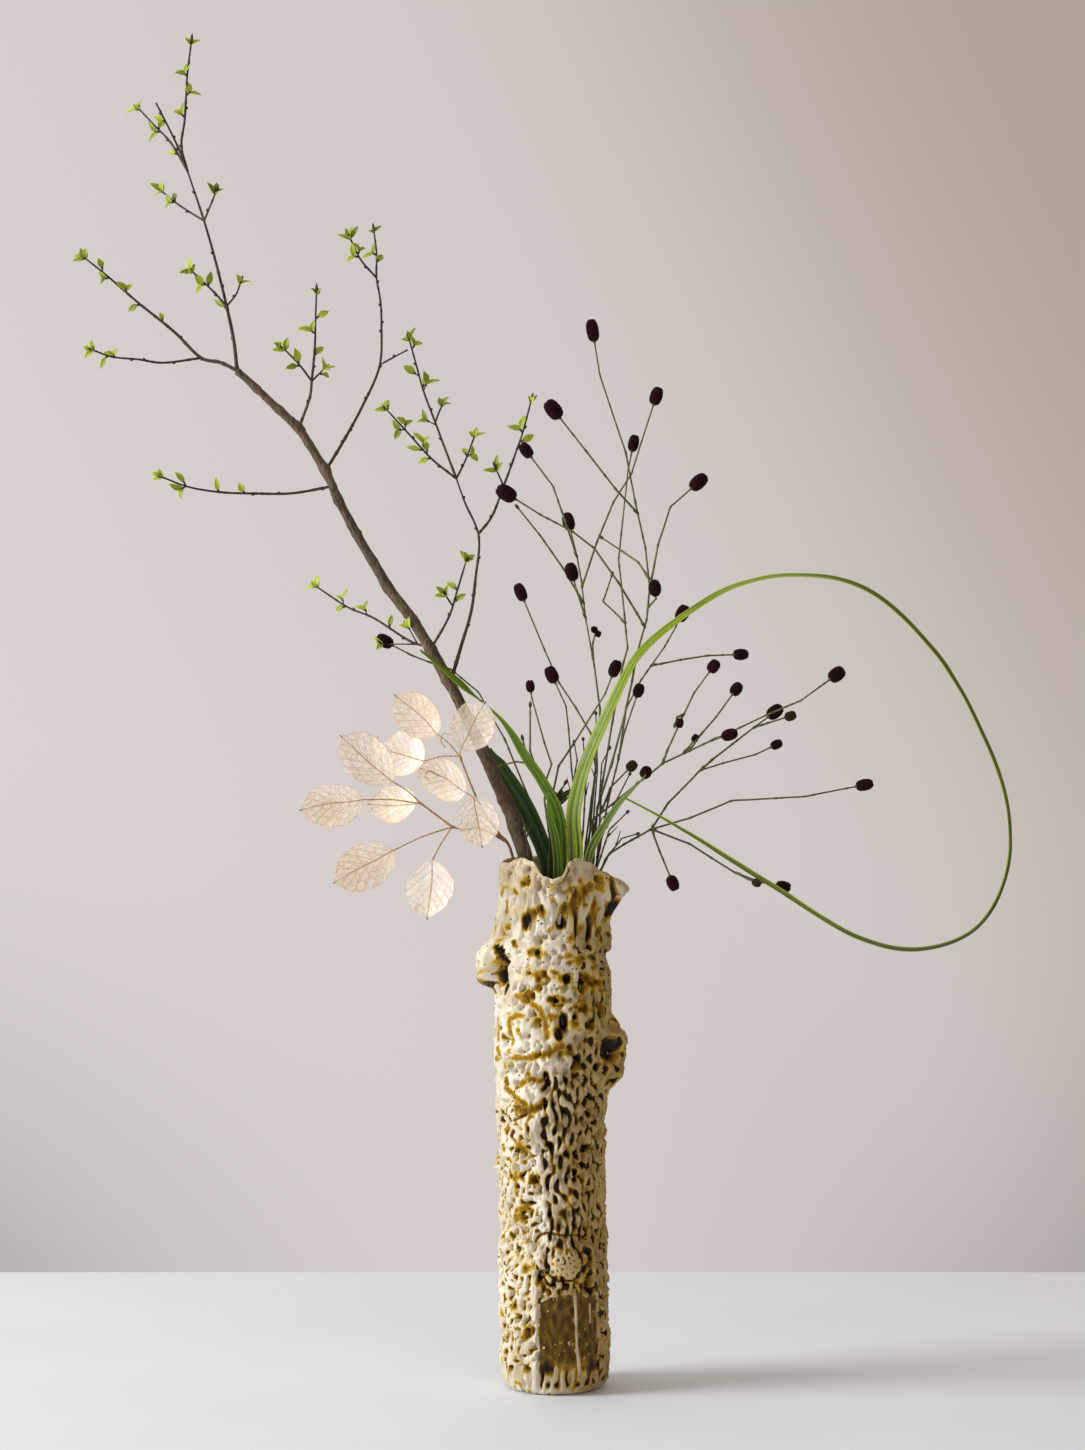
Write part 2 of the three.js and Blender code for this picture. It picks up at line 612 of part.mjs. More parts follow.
// Strap leaves: their route from the mouth of the vase, then the width and the roll
// of the face along it: a roll of 90 shows the whole width from the front.
const STRAPS = [
  {
    name: 'strap_leaf_dark',
    route: [
      [-3, 20, 350], [-6, 20, 370], [-18, 20, 398], [-31, 21, 420], [-40, 21, 434],
      [-46, 22, 446],
    ],
    width: [[0, 8], [0.25, 12], [0.6, 15], [0.85, 13], [1, 3]],
    roll: [[0, 80], [1, 70]],
    steps: 10,
    colour: COLOURS.strapDark,
  },
  {
    name: 'strap_leaf_left',
    route: [
      [5, 2, 350], [5, 1, 375], [2, -2, 402], [-9, -5, 424], [-19, -7, 439], [-35, -7, 464],
      [-55, -5, 482], [-72, -3, 497], [-89, -1, 511], [-94, 0, 515],
    ],
    width: [[0, 7], [0.2, 9], [0.5, 7.5], [0.75, 6.5], [1, 1.6]],
    roll: [[0, 85], [0.45, 60], [0.7, 10], [0.85, -60], [1, -70]],
    steps: 20,
    colour: COLOURS.strap,
  },
  {
    name: 'strap_leaf_loop',
    route: [
      [13, -13, 350], [14, -13, 376], [13, -16, 400], [16, -17, 418], [21, -19, 435],
      [38, -23, 474], [57, -27, 510], [87, -31, 537], [125, -35, 559], [167, -39, 566],
      [212, -43, 557], [259, -48, 515], [293, -50, 457], [311, -50, 401], [308, -49, 357],
      [288, -48, 323], [249, -47, 309], [211, -46, 316], [144, -42, 356], [81, -37, 395],
      [47, -34, 413],
    ],
    width: [[0, 8], [0.03, 12], [0.1, 11], [0.25, 9], [0.6, 8], [0.85, 6], [1, 1.6]],
    roll: [[0, 88], [0.08, 75], [0.2, 45], [0.4, 26], [0.6, 22], [0.8, 28], [1, 45]],
    steps: 42,
    colour: COLOURS.strap,
  },
  {
    name: 'strap_leaf_short',
    route: [[2, -10, 350], [2, -11, 369], [0, -13, 386], [-4, -15, 402], [-5, -17, 416]],
    width: [[0, 6], [0.5, 6.5], [1, 1.4]],
    roll: [[0, 75], [1, 60]],
    steps: 7,
    colour: COLOURS.strap,
  },
  {
    name: 'strap_leaf_right',
    route: [
      [21, -16, 350], [25, -15, 375], [34, -20, 392], [45, -27, 409], [60, -37, 425],
      [66, -42, 434],
    ],
    width: [[0, 5], [0.3, 6], [0.6, 4.6], [1, 1]],
    roll: [[0, 85], [1, 50]],
    steps: 10,
    colour: COLOURS.strap,
  },
];

/** The slot that a strap leaf needs in the water: a flat bar round its foot. */
function waterSlot(low, mouth, width) {
  const half = v(width / 2 + HOLE_GAP, 0, 0);
  const deep = v(0, SLOT_HALF_DEPTH, 0);
  const ring = (centre) => [
    centre.clone().sub(half).sub(deep),
    centre.clone().add(half).sub(deep),
    centre.clone().add(half).add(deep),
    centre.clone().sub(half).add(deep),
  ];
  const bottom = low.clone().setZ(0);
  return skin([ring(bottom), ring(mouth)], bottom, mouth);
}

/** A long keeled leaf that rolls as it goes, from its foot in the vase to its tip. */
function strapLeaf({ route, width, roll, steps }) {
  const written = at(route);
  const mouth = written[0];
  const low = v(mouth.x * FOOT_SPREAD, mouth.y * FOOT_SPREAD, STEM_FOOT);
  holes.push(waterSlot(low, mouth, width[0][1]));
  const curve = new THREE.CatmullRomCurve3(written, false, 'centripetal');
  const points = [low, ...curve.getSpacedPoints(steps)];
  const tangents = tangentsOf(points);
  const rows = points.map((p, i) => {
    const step = Math.max(i - 1, 0) / steps;
    const tangent = tangents[i];
    const depth = v(0, 1, 0).addScaledVector(tangent, -tangent.y).normalize();
    const side = tangent.clone().cross(depth).normalize();
    const angle = degrees(along(roll, step));
    const across = depth.multiplyScalar(Math.cos(angle)).addScaledVector(side, Math.sin(angle));
    const keel = across.clone().cross(tangent).normalize();
    const half = along(width, step) / 2;
    return [-1, 0, 1].map((k) => {
      const sink = (1 - Math.abs(k)) * KEEL_DEPTH * half;
      return p.clone().addScaledVector(across, k * half).addScaledVector(keel, sink);
    });
  });
  return blade(rows, STRAP_THICKNESS);
}

STRAPS.forEach((strap) => place(strap.name, strapLeaf(strap), strap.colour));

// ---------------------------------------------------------------- burnet stems

// Each burnet: where it stands in the mouth, its routes (the first one is the stem,
// the others are its side stems) and the flower head at a route's end as [length,
// width]. A route with no head ends in a tiny closed bud.
const BURNETS = [
  {
    name: 'burnet_tall',
    mouth: [26, -1, 350],
    radius: 1.5,
    routes: [
      {
        head: [16, 9.5],
        route: [
          [28, -2, 380], [30, -3, 405], [40, -5, 436], [48, -7, 466], [54, -9, 493],
          [57, -11, 511], [64, -14, 536], [66, -17, 558], [63, -21, 585], [56, -25, 616],
          [49, -30, 651], [38, -34, 683], [31, -37, 704], [26, -40, 734],
        ],
      },
      { head: [15, 12], route: [[58, -25, 609], [42, -37, 625], [21, -47, 651], [-1, -56, 678]] },
      {
        head: [15, 12],
        route: [
          [62, -14, 531], [44, -31, 561], [27, -44, 584], [12, -53, 595], [-10, -61, 606],
          [-33, -68, 620],
        ],
      },
      { head: [15, 11], route: [[66, -17, 557], [72, -13, 588], [81, -4, 615], [101, 4, 633]] },
      { head: [14, 9.5], route: [[66, -17, 545], [70, -27, 550], [69, -36, 557]] },
      { route: [[65, -18, 565], [58, -14, 576], [47, -8, 584], [34, -2, 593]] },
    ],
  },
  {
    name: 'burnet_middle',
    mouth: [22, 3, 350],
    radius: 1.4,
    routes: [
      {
        head: [13.5, 9.5],
        route: [
          [24, 4, 380], [28, 7, 423], [32, 12, 474], [28, 15, 505], [22, 19, 538], [19, 23, 565],
          [16, 26, 582], [10, 30, 607],
        ],
      },
      {
        head: [13.5, 10],
        route: [
          [20, 22, 560], [30, 28, 592], [42, 36, 621], [55, 42, 642], [62, 46, 664],
          [73, 50, 698],
        ],
      },
      { head: [13.5, 10], route: [[22, 19, 538], [16, 9, 556], [12, 2, 570]] },
      { head: [12, 9], route: [[16, 26, 582], [5, 19, 614], [-1, 17, 631], [-20, 12, 656]] },
      { route: [[21, 20, 548], [6, 10, 573], [-10, -4, 595], [-25, -16, 613]] },
      { route: [[27, 16, 510], [27, 19, 520], [29, 21, 528]] },
    ],
  },
  {
    name: 'burnet_rear',
    mouth: [28, 5, 350],
    radius: 1.3,
    routes: [
      {
        head: [12.5, 8.5],
        route: [
          [31, 6, 380], [33, 13, 417], [41, 22, 465], [49, 31, 507], [52, 33, 517],
          [50, 38, 540], [46, 47, 581], [48, 50, 600], [53, 56, 646], [57, 58, 665],
        ],
      },
      { route: [[51, 36, 535], [35, 46, 551], [41, 54, 569]] },
    ],
  },
  {
    name: 'burnet_thick',
    mouth: [-2, 11, 350],
    radius: 2.2,
    routes: [
      {
        head: [12.5, 9],
        route: [
          [-2, 12, 380], [-2, 11, 411], [3, 5, 434], [13, -1, 449], [23, -6, 465],
          [35, -10, 484], [42, -12, 502],
        ],
      },
      { route: [[-2, 11, 408], [3, 6, 414], [7, 3, 421]] },
      { route: [[-2, 11, 404], [5, 9, 408], [10, 8, 412]] },
    ],
  },
  {
    name: 'burnet_arching',
    mouth: [27, 10, 350],
    radius: 1.3,
    routes: [
      {
        head: [12.5, 10.5],
        route: [
          [32, 10, 380], [38, 13, 410], [45, 16, 438], [51, 21, 475], [61, 24, 494],
          [68, 26, 504], [78, 28, 518], [86, 31, 532], [91, 32, 542],
        ],
      },
      { head: [11, 9], route: [[68, 26, 504], [90, 29, 509], [109, 35, 512], [133, 42, 513]] },
      { head: [10, 8.5], route: [[45, 16, 438], [49, 11, 457], [59, 4, 487]] },
    ],
  },
  {
    name: 'burnet_back_left',
    mouth: [19, 8, 350],
    radius: 1.2,
    routes: [
      {
        head: [13.5, 9],
        route: [
          [22, 8, 380], [26, 11, 410], [29, 12, 431], [26, 15, 456], [15, 17, 475], [3, 20, 493],
          [-7, 25, 516], [-24, 32, 557],
        ],
      },
    ],
  },
  {
    name: 'burnet_slender',
    mouth: [14, 2, 350],
    radius: 1.2,
    routes: [
      {
        head: [12.5, 10],
        route: [
          [16, 2, 380], [16, 3, 402], [12, 5, 431], [10, 6, 459], [8, 5, 476], [-2, 4, 498],
        ],
      },
    ],
  },
  {
    name: 'burnet_young',
    mouth: [-5, 4, 350],
    radius: 1.4,
    routes: [
      {
        head: [8.5, 6.5],
        route: [
          [-3, 2, 380], [-7, 0, 410], [-6, 1, 424], [-2, 4, 435], [-7, 6, 450], [-16, 9, 482],
          [-17, 9, 490],
        ],
      },
      { route: [[-6, 1, 424], [-14, -1, 436], [-17, 0, 444], [-17, -1, 475]] },
      { route: [[-14, -1, 436], [-19, 0, 440], [-22, -2, 452]] },
      { route: [[-14, -1, 436], [-27, 2, 437], [-35, 0, 435]] },
    ],
  },
  {
    name: 'burnet_far_left',
    mouth: [-8, 26, 350],
    radius: 1.2,
    routes: [
      {
        head: [13, 10],
        route: [
          [-9, 28, 378], [-19, 32, 413], [-35, 35, 452], [-54, 34, 486], [-73, 31, 502],
          [-88, 29, 507], [-101, 27, 512], [-120, 22, 522],
        ],
      },
    ],
  },
  {
    name: 'burnet_right_low',
    mouth: [28, -8, 350],
    radius: 1.4,
    routes: [
      {
        head: [12.5, 9],
        route: [
          [32, -10, 361], [38, -12, 373], [49, -12, 380], [67, -13, 390], [94, -14, 398],
          [123, -16, 410], [174, -14, 413], [216, -10, 421],
        ],
      },
      { head: [11, 9], route: [[67, -13, 390], [73, -16, 375], [82, -20, 353]] },
      {
        head: [10.5, 8.5],
        route: [
          [67, -13, 390], [94, -17, 380], [108, -20, 371], [124, -23, 361], [142, -26, 354],
          [158, -28, 351],
        ],
      },
      { head: [6.5, 6], route: [[126, -23, 360], [134, -31, 356], [139, -36, 354]] },
      {
        head: [8.5, 7],
        route: [
          [67, -13, 390], [79, -9, 408], [102, -2, 431], [118, 1, 436], [141, 5, 442],
          [156, 8, 449],
        ],
      },
      { head: [13, 10.5], route: [[102, -2, 431], [110, 2, 438], [134, 14, 456], [156, 24, 472]] },
      { head: [8, 7.5], route: [[140, 17, 461], [150, 14, 464], [166, 11, 469]] },
    ],
  },
  {
    name: 'burnet_right_high',
    mouth: [19, -6, 350],
    radius: 1.4,
    routes: [
      {
        head: [12.5, 11],
        route: [
          [22, -7, 377], [27, -11, 397], [44, -16, 411], [64, -18, 427], [75, -19, 436],
          [94, -19, 445], [109, -19, 452], [129, -17, 461], [146, -14, 469], [172, -10, 480],
          [197, -6, 498],
        ],
      },
      {
        head: [9.5, 9],
        route: [
          [75, -19, 436], [78, -23, 445], [89, -34, 470], [96, -38, 485], [109, -44, 503],
        ],
      },
      { head: [10, 9], route: [[94, -19, 445], [102, -7, 456], [113, 3, 468], [128, 12, 488]] },
      { head: [12, 9], route: [[109, -19, 452], [121, -27, 456]] },
      { head: [8, 8], route: [[33, -13, 402], [39, -7, 419], [54, -2, 434]] },
      { head: [9, 9], route: [[57, -17, 421], [61, -22, 425], [63, -29, 430]] },
      { route: [[89, -34, 470], [84, -37, 468], [83, -40, 464]] },
      { route: [[90, -19, 443], [98, -9, 453]] },
    ],
  },
];

const HEAD_DIMPLE = 4; // the hollow under a head that its stem stands in
const HEAD_NECK = 1.9;

/** A burnet flower head: an egg of packed florets, each standing out as a point. */
function flowerHead(centre, direction, length, width) {
  const [around, rows] = length < 10 ? [6, 5] : [9, 6];
  const upright = new THREE.Quaternion().setFromUnitVectors(v(0, 0, 1), direction);
  const set = (p) => p.applyQuaternion(upright).add(centre);
  const rings = [];
  for (let i = 0; i < rows; i += 1) {
    const tilt = Math.PI * ((i + 0.6) / (rows + 0.3));
    const ring = [];
    for (let j = 0; j < around; j += 1) {
      const lattice = j - Math.floor(i / 2) + 2 * i;
      const floret = ((lattice % 3) + 3) % 3 === 0 ? 1.13 : 0.9;
      const angle = ((j + (i % 2) / 2) / around) * 2 * Math.PI;
      const reach = Math.max((width / 2) * Math.sin(tilt) * floret, i === 0 ? HEAD_NECK : 0);
      const z = (-length / 2) * Math.cos(tilt) * (i === 0 ? 1 : floret);
      ring.push(set(v(reach * Math.cos(angle), reach * Math.sin(angle), z)));
    }
    rings.push(ring);
  }
  return skin(rings, set(v(0, 0, HEAD_DIMPLE - length / 2)), set(v(0, 0, 0.47 * length)));
}

/** A stem with its nodes: it swells a little where it bends. */
function knobby(points, startRadius, endRadius) {
  const last = points.length - 1;
  const radii = points.map((_, i) => mix(startRadius, endRadius, i / last) * (i % 2 === 1 ? 1.12 : 0.95));
  return tube(points, radii, 4);
}

let headCount = 0;

function burnet({ name, mouth, radius, routes }) {
  const stand = v(...mouth);
  const stems = [];
  const heads = [];
  const grown = [];
  routes.forEach(({ route, head }, i) => {
    const points = at(route);
    if (i > 0) {
      points[0] = nearestOn(grown, points[0]);
    }
    grown.push(points);
    const last = points.length - 1;
    const direction = points[last].clone().sub(points[last - 1]).normalize();
    const centre = points[last].clone();
    if (head) {
      points[last].addScaledVector(direction, HEAD_SEAT - head[0] / 2);
      heads.push([centre, direction, head]);
    }
    const full = i === 0 ? [foot(stand, radius), stand, ...points] : points;
    stems.push(knobby(full, i === 0 ? radius : 0.75 * radius, 0.75));
    if (!head) {
      stems.push(bud(points[last], direction, 4.5, 2.8));
    }
  });
  const stem = fuse(stems);
  place(name, stem, COLOURS.stem);
  heads.forEach(([centre, direction, [length, width]]) => {
    headCount += 1;
    const label = `flower_head_${String(headCount).padStart(2, '0')}`;
    place(label, flowerHead(centre, direction, length, width), COLOURS.burnet);
  });
}

BURNETS.forEach(burnet);

// ---------------------------------------------------------------- kubari and water

/** The twig wedged across the mouth, which the stems lean on. */
function kubari() {
  const wall = along(INNER_WALL, KUBARI_LEVEL) - 1;
  const reach = Math.sqrt(wall ** 2 - (KUBARI_SETBACK + KUBARI_RADIUS) ** 2) - GAP;
  const points = [-1, -0.35, 0.3, 1].map((k) => {
    const wave = 0.6 * Math.sin(4 * k);
    return v(k * reach, -KUBARI_SETBACK, KUBARI_LEVEL + wave);
  });
  return taper(points, KUBARI_RADIUS, KUBARI_RADIUS - 0.3, 7);
}

function water() {
  const levels = [...INNER_LEVELS.filter((z) => z < WATER_LEVEL).reverse(), WATER_LEVEL];
  const angles = Array.from({ length: WATER_COLUMNS }, (_, j) => -180 + (j * 360) / WATER_COLUMNS);
  const ring = (radius, z) => angles.map((a) => wallPoint(a, z, radius, 0));
  const rings = [ring(26 - HOLE_GAP, FLOOR_THICKNESS + GAP)];
  levels.forEach((z) => rings.push(ring(along(INNER_WALL, z) - HOLE_GAP, z)));
  const body = skin(rings, v(0, 0, FLOOR_THICKNESS + GAP), v(0, 0, WATER_LEVEL));
  return holes.reduce((rest, hole) => rest.subtract(hole), body);
}

place('kubari', kubari(), COLOURS.kubari);
place('water', water(), COLOURS.water, { roughness: 0.05, opacity: 0.5 });

export default arrangement;
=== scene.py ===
"""The looks of an ikebana arrangement: a budding branch, great burnet, skeleton leaves
and strap leaves in a tall vase with an encrusted glaze.

Lengths in the tables below are millimetres in the part's own frame: the origin is the
middle of the vase's foot, Z is up and the front faces -Y. Meshes are made in
millimetres and written in metres.
"""

import math

import bpy
import numpy as np
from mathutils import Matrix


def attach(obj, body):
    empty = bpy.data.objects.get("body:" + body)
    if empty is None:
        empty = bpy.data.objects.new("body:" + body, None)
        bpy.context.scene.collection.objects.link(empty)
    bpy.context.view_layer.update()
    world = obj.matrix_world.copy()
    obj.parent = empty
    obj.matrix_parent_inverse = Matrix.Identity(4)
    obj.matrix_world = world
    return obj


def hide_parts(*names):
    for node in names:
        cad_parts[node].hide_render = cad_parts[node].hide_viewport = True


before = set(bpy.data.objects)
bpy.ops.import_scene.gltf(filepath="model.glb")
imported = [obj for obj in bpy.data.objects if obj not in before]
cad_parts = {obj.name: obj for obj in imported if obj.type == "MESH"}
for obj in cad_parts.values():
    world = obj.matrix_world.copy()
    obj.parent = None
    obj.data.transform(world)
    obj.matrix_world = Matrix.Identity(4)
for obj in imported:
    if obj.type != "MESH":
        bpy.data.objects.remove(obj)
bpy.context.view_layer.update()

MM = 0.001

# ---------------------------------------------------------------- camera, light, stage

CAMERA_PLACE = (-8.4, -2255.0, 462.7)
LENS = 80.0
SENSOR = 36.0
TABLE_BACK = 470.0  # how far the table reaches behind the vase
TABLE_FRONT = -2600.0
TABLE_SIDE = 2600.0
# Colours of the wall from left to right, as places between 0 and 1; the wall is one pale
# colour, and its darkening to the right is painted shade.
WALL_SHADED_COLOURS = [(0.0, (218, 211, 208)), (0.55, (210, 202, 198)), (1.0, (176, 164, 154))]

# Soft lights: name, place, size across, power in watts, colour. All aim at the middle
# of the arrangement.
LIGHTS = [
    ("key", (-3500, -760, 1600), 1800, 152, (1.0, 0.99, 0.975)),
    ("fill", (500, -2300, 700), 1500, 8, (1.0, 0.92, 0.8)),
    ("top", (-300, 300, 2300), 1600, 12, (1.0, 0.98, 0.95)),
]
LIGHT_TARGET = (0, 0, 400)
AMBIENT = (0.35, 0.285, 0.224)  # even light from all round, a little warm
# The wall darkens below eye level, more so in its corners, and never by more than the last.
LOW_SHADE = 1.25
CORNER_SHADE = 390.0
DEEPEST_SHADE = 0.3

# ---------------------------------------------------------------- driving dimensions

FOOT_RADIUS = 27
FOOT_ROWS = [(FOOT_RADIUS, 0), (30.5, 0.3), (33.5, 1.8), (35.6, 4.2), (36.8, 7.6), (37.6, 12)]
FLOOR_THICKNESS = 12
MOUTH_LEVEL = 350
FOOT_SPREAD = 0.7  # how far from the axis a stem stands, as a share of its place in the mouth
STEM_FOOT = FLOOR_THICKNESS + 0.35
BODY_BOTTOM = 19
BODY_TOP = 318
KNOT_FULLNESS = 1.25  # above 1, the knots are flat on top
NET_HEIGHT = 1.3
INNER_LEVELS = (300, 250, 190, 120, 40, 20)
KEEL_DEPTH = 0.12  # of a strap leaf's solid, as a share of half its width
KEEL_GAIN = 1.3  # how much deeper its keel is here

VASE_COLUMNS = 300
FRONT_FINENESS = 0.3  # how much closer the columns are in front
BODY_ROWS = 262
RIM_STEPS = 4  # rows of the mesh from one row of the rim's tables to the next
LIP_ROW = 6  # the rim's row just inside its top, counted from the last row of the body

KUBARI_RADIUS = 2.6
KUBARI_LEVEL = 336
KUBARI_SETBACK = 21

BRANCH_MOUTH = (-19, 8, MOUTH_LEVEL)
SPRAY_MOUTH = (-25, -9, MOUTH_LEVEL)

# Radii of the limb by height.
LIMB_RADII = [[0, 6.0], [372, 5.2], [495, 3.9], [643, 3.05], [714, 2.5]]
LEAF_LENGTH = 8.8  # of an opening leaf on the branch
LEAF_WIDTH = 4.9
FLORET_LENGTH = 1.0
HEAD_FULLNESS = 0.87  # width of a head without its florets' tips, as a share of the whole
CORE_SIZE = 0.8  # of the egg inside a head, as a share of it
FLORET_SEAT = 0.87  # where the florets are set in, in the same way
HEAD_SEAT = 1.4  # how far a stem reaches into its head
YOUNG_LENGTHS = (8, 6.5)  # heads of these lengths are a little greener

# ---------------------------------------------------------------- written forms

# The outer wall on its two sides and the inner wall, as [height, radius].
LEFT_SIDE = [
    [20, 38], [60, 37.5], [117, 37.8], [149, 39.5], [190, 40.5], [267, 42], [300, 40.5], [340, 40],
]
RIGHT_SIDE = [
    [20, 38], [69, 37.7], [97, 37], [118, 35.5], [150, 34.8], [181, 34.8], [208, 36.5], [262, 40],
    [288, 39.5], [300, 36.5], [316, 36], [340, 38.8],
]
INNER_WALL = [[20, 30], [120, 30], [150, 29], [190, 29], [260, 32], [300, 31.5], [345, 33.6]]

# Height of the rim, as [angle, height]. Angles are in degrees, and -90 is the front.
RIM = [
    [-180, 367], [-154, 367], [-128, 371], [-114, 369], [-99, 358], [-92, 356], [-84, 358], [-74, 369],
    [-66, 371], [-50, 368], [-34, 363], [-18, 357], [14, 357], [60, 366], [100, 370], [150, 369],
    [180, 367],
]

# The rim cut through from outside to inside, as [radius, height over the rim]: where
# it is plain, where it curls over in front and where it runs out to the beak.
PLAIN_RIM = [[39, -30], [39.2, -20], [39, -10], [38.4, -3], [36.8, 0], [35, -2], [34.2, -7], [33.8, -15]]
CURLED_RIM = [
    [38.6, -30], [38.8, -18], [39.6, -9], [42.4, -5.5], [43, -1], [40, 0.8], [36.4, -3], [34, -14],
]
BEAK_RIM = [[37.6, -38], [39, -34], [43.5, -24], [49, -15], [53.6, -8], [45, -1], [36, -2], [33.8, -15]]

# Knots and hollows: angle, height, half width in degrees, half height in millimetres,
# how far they stand out and how far they lift the wall.
KNOTS = [
    (-172, 300, 23, 25, 14.5, -6),  # left nub
    (-10, 234, 30, 32, 11.5, -3),  # right knot
    (-24, 238, 15, 14, -9, 0),  # right hollow
    (-8, 312, 15, 12, 4, 0),  # right lug
    (-78, 92, 25, 16, 4.5, 0),  # front boss
    (-120, 326, 10, 9, -5, 0),  # upper left pit
    (-84, 324, 10, 8, -5, 0),  # upper middle pit
    (-56, 316, 11, 17, -5, 0),  # upper right slots
    (-60, 284, 9, 10, -4, 0),  # middle right pit
    (-82, 258, 9, 10, -4, 0),  # middle pit
    (-99, 217, 8, 11, -4, 0),  # lower left pit
    (-152, 292, 9, 14, -4, 0),  # left crevice
]

# Points of the branch's limb, above the mouth.
LIMB = [
    [-21, 8, 372], [-31, 9, 402], [-50, 11, 444], [-66, 13, 477], [-75, 14, 495], [-86, 16, 514],
    [-100, 18, 537], [-117, 21, 559], [-139, 25, 596], [-153, 26, 622], [-162, 27, 643], [-181, 28, 673],
    [-194, 29, 685], [-212, 29, 702], [-225, 30, 714],
]

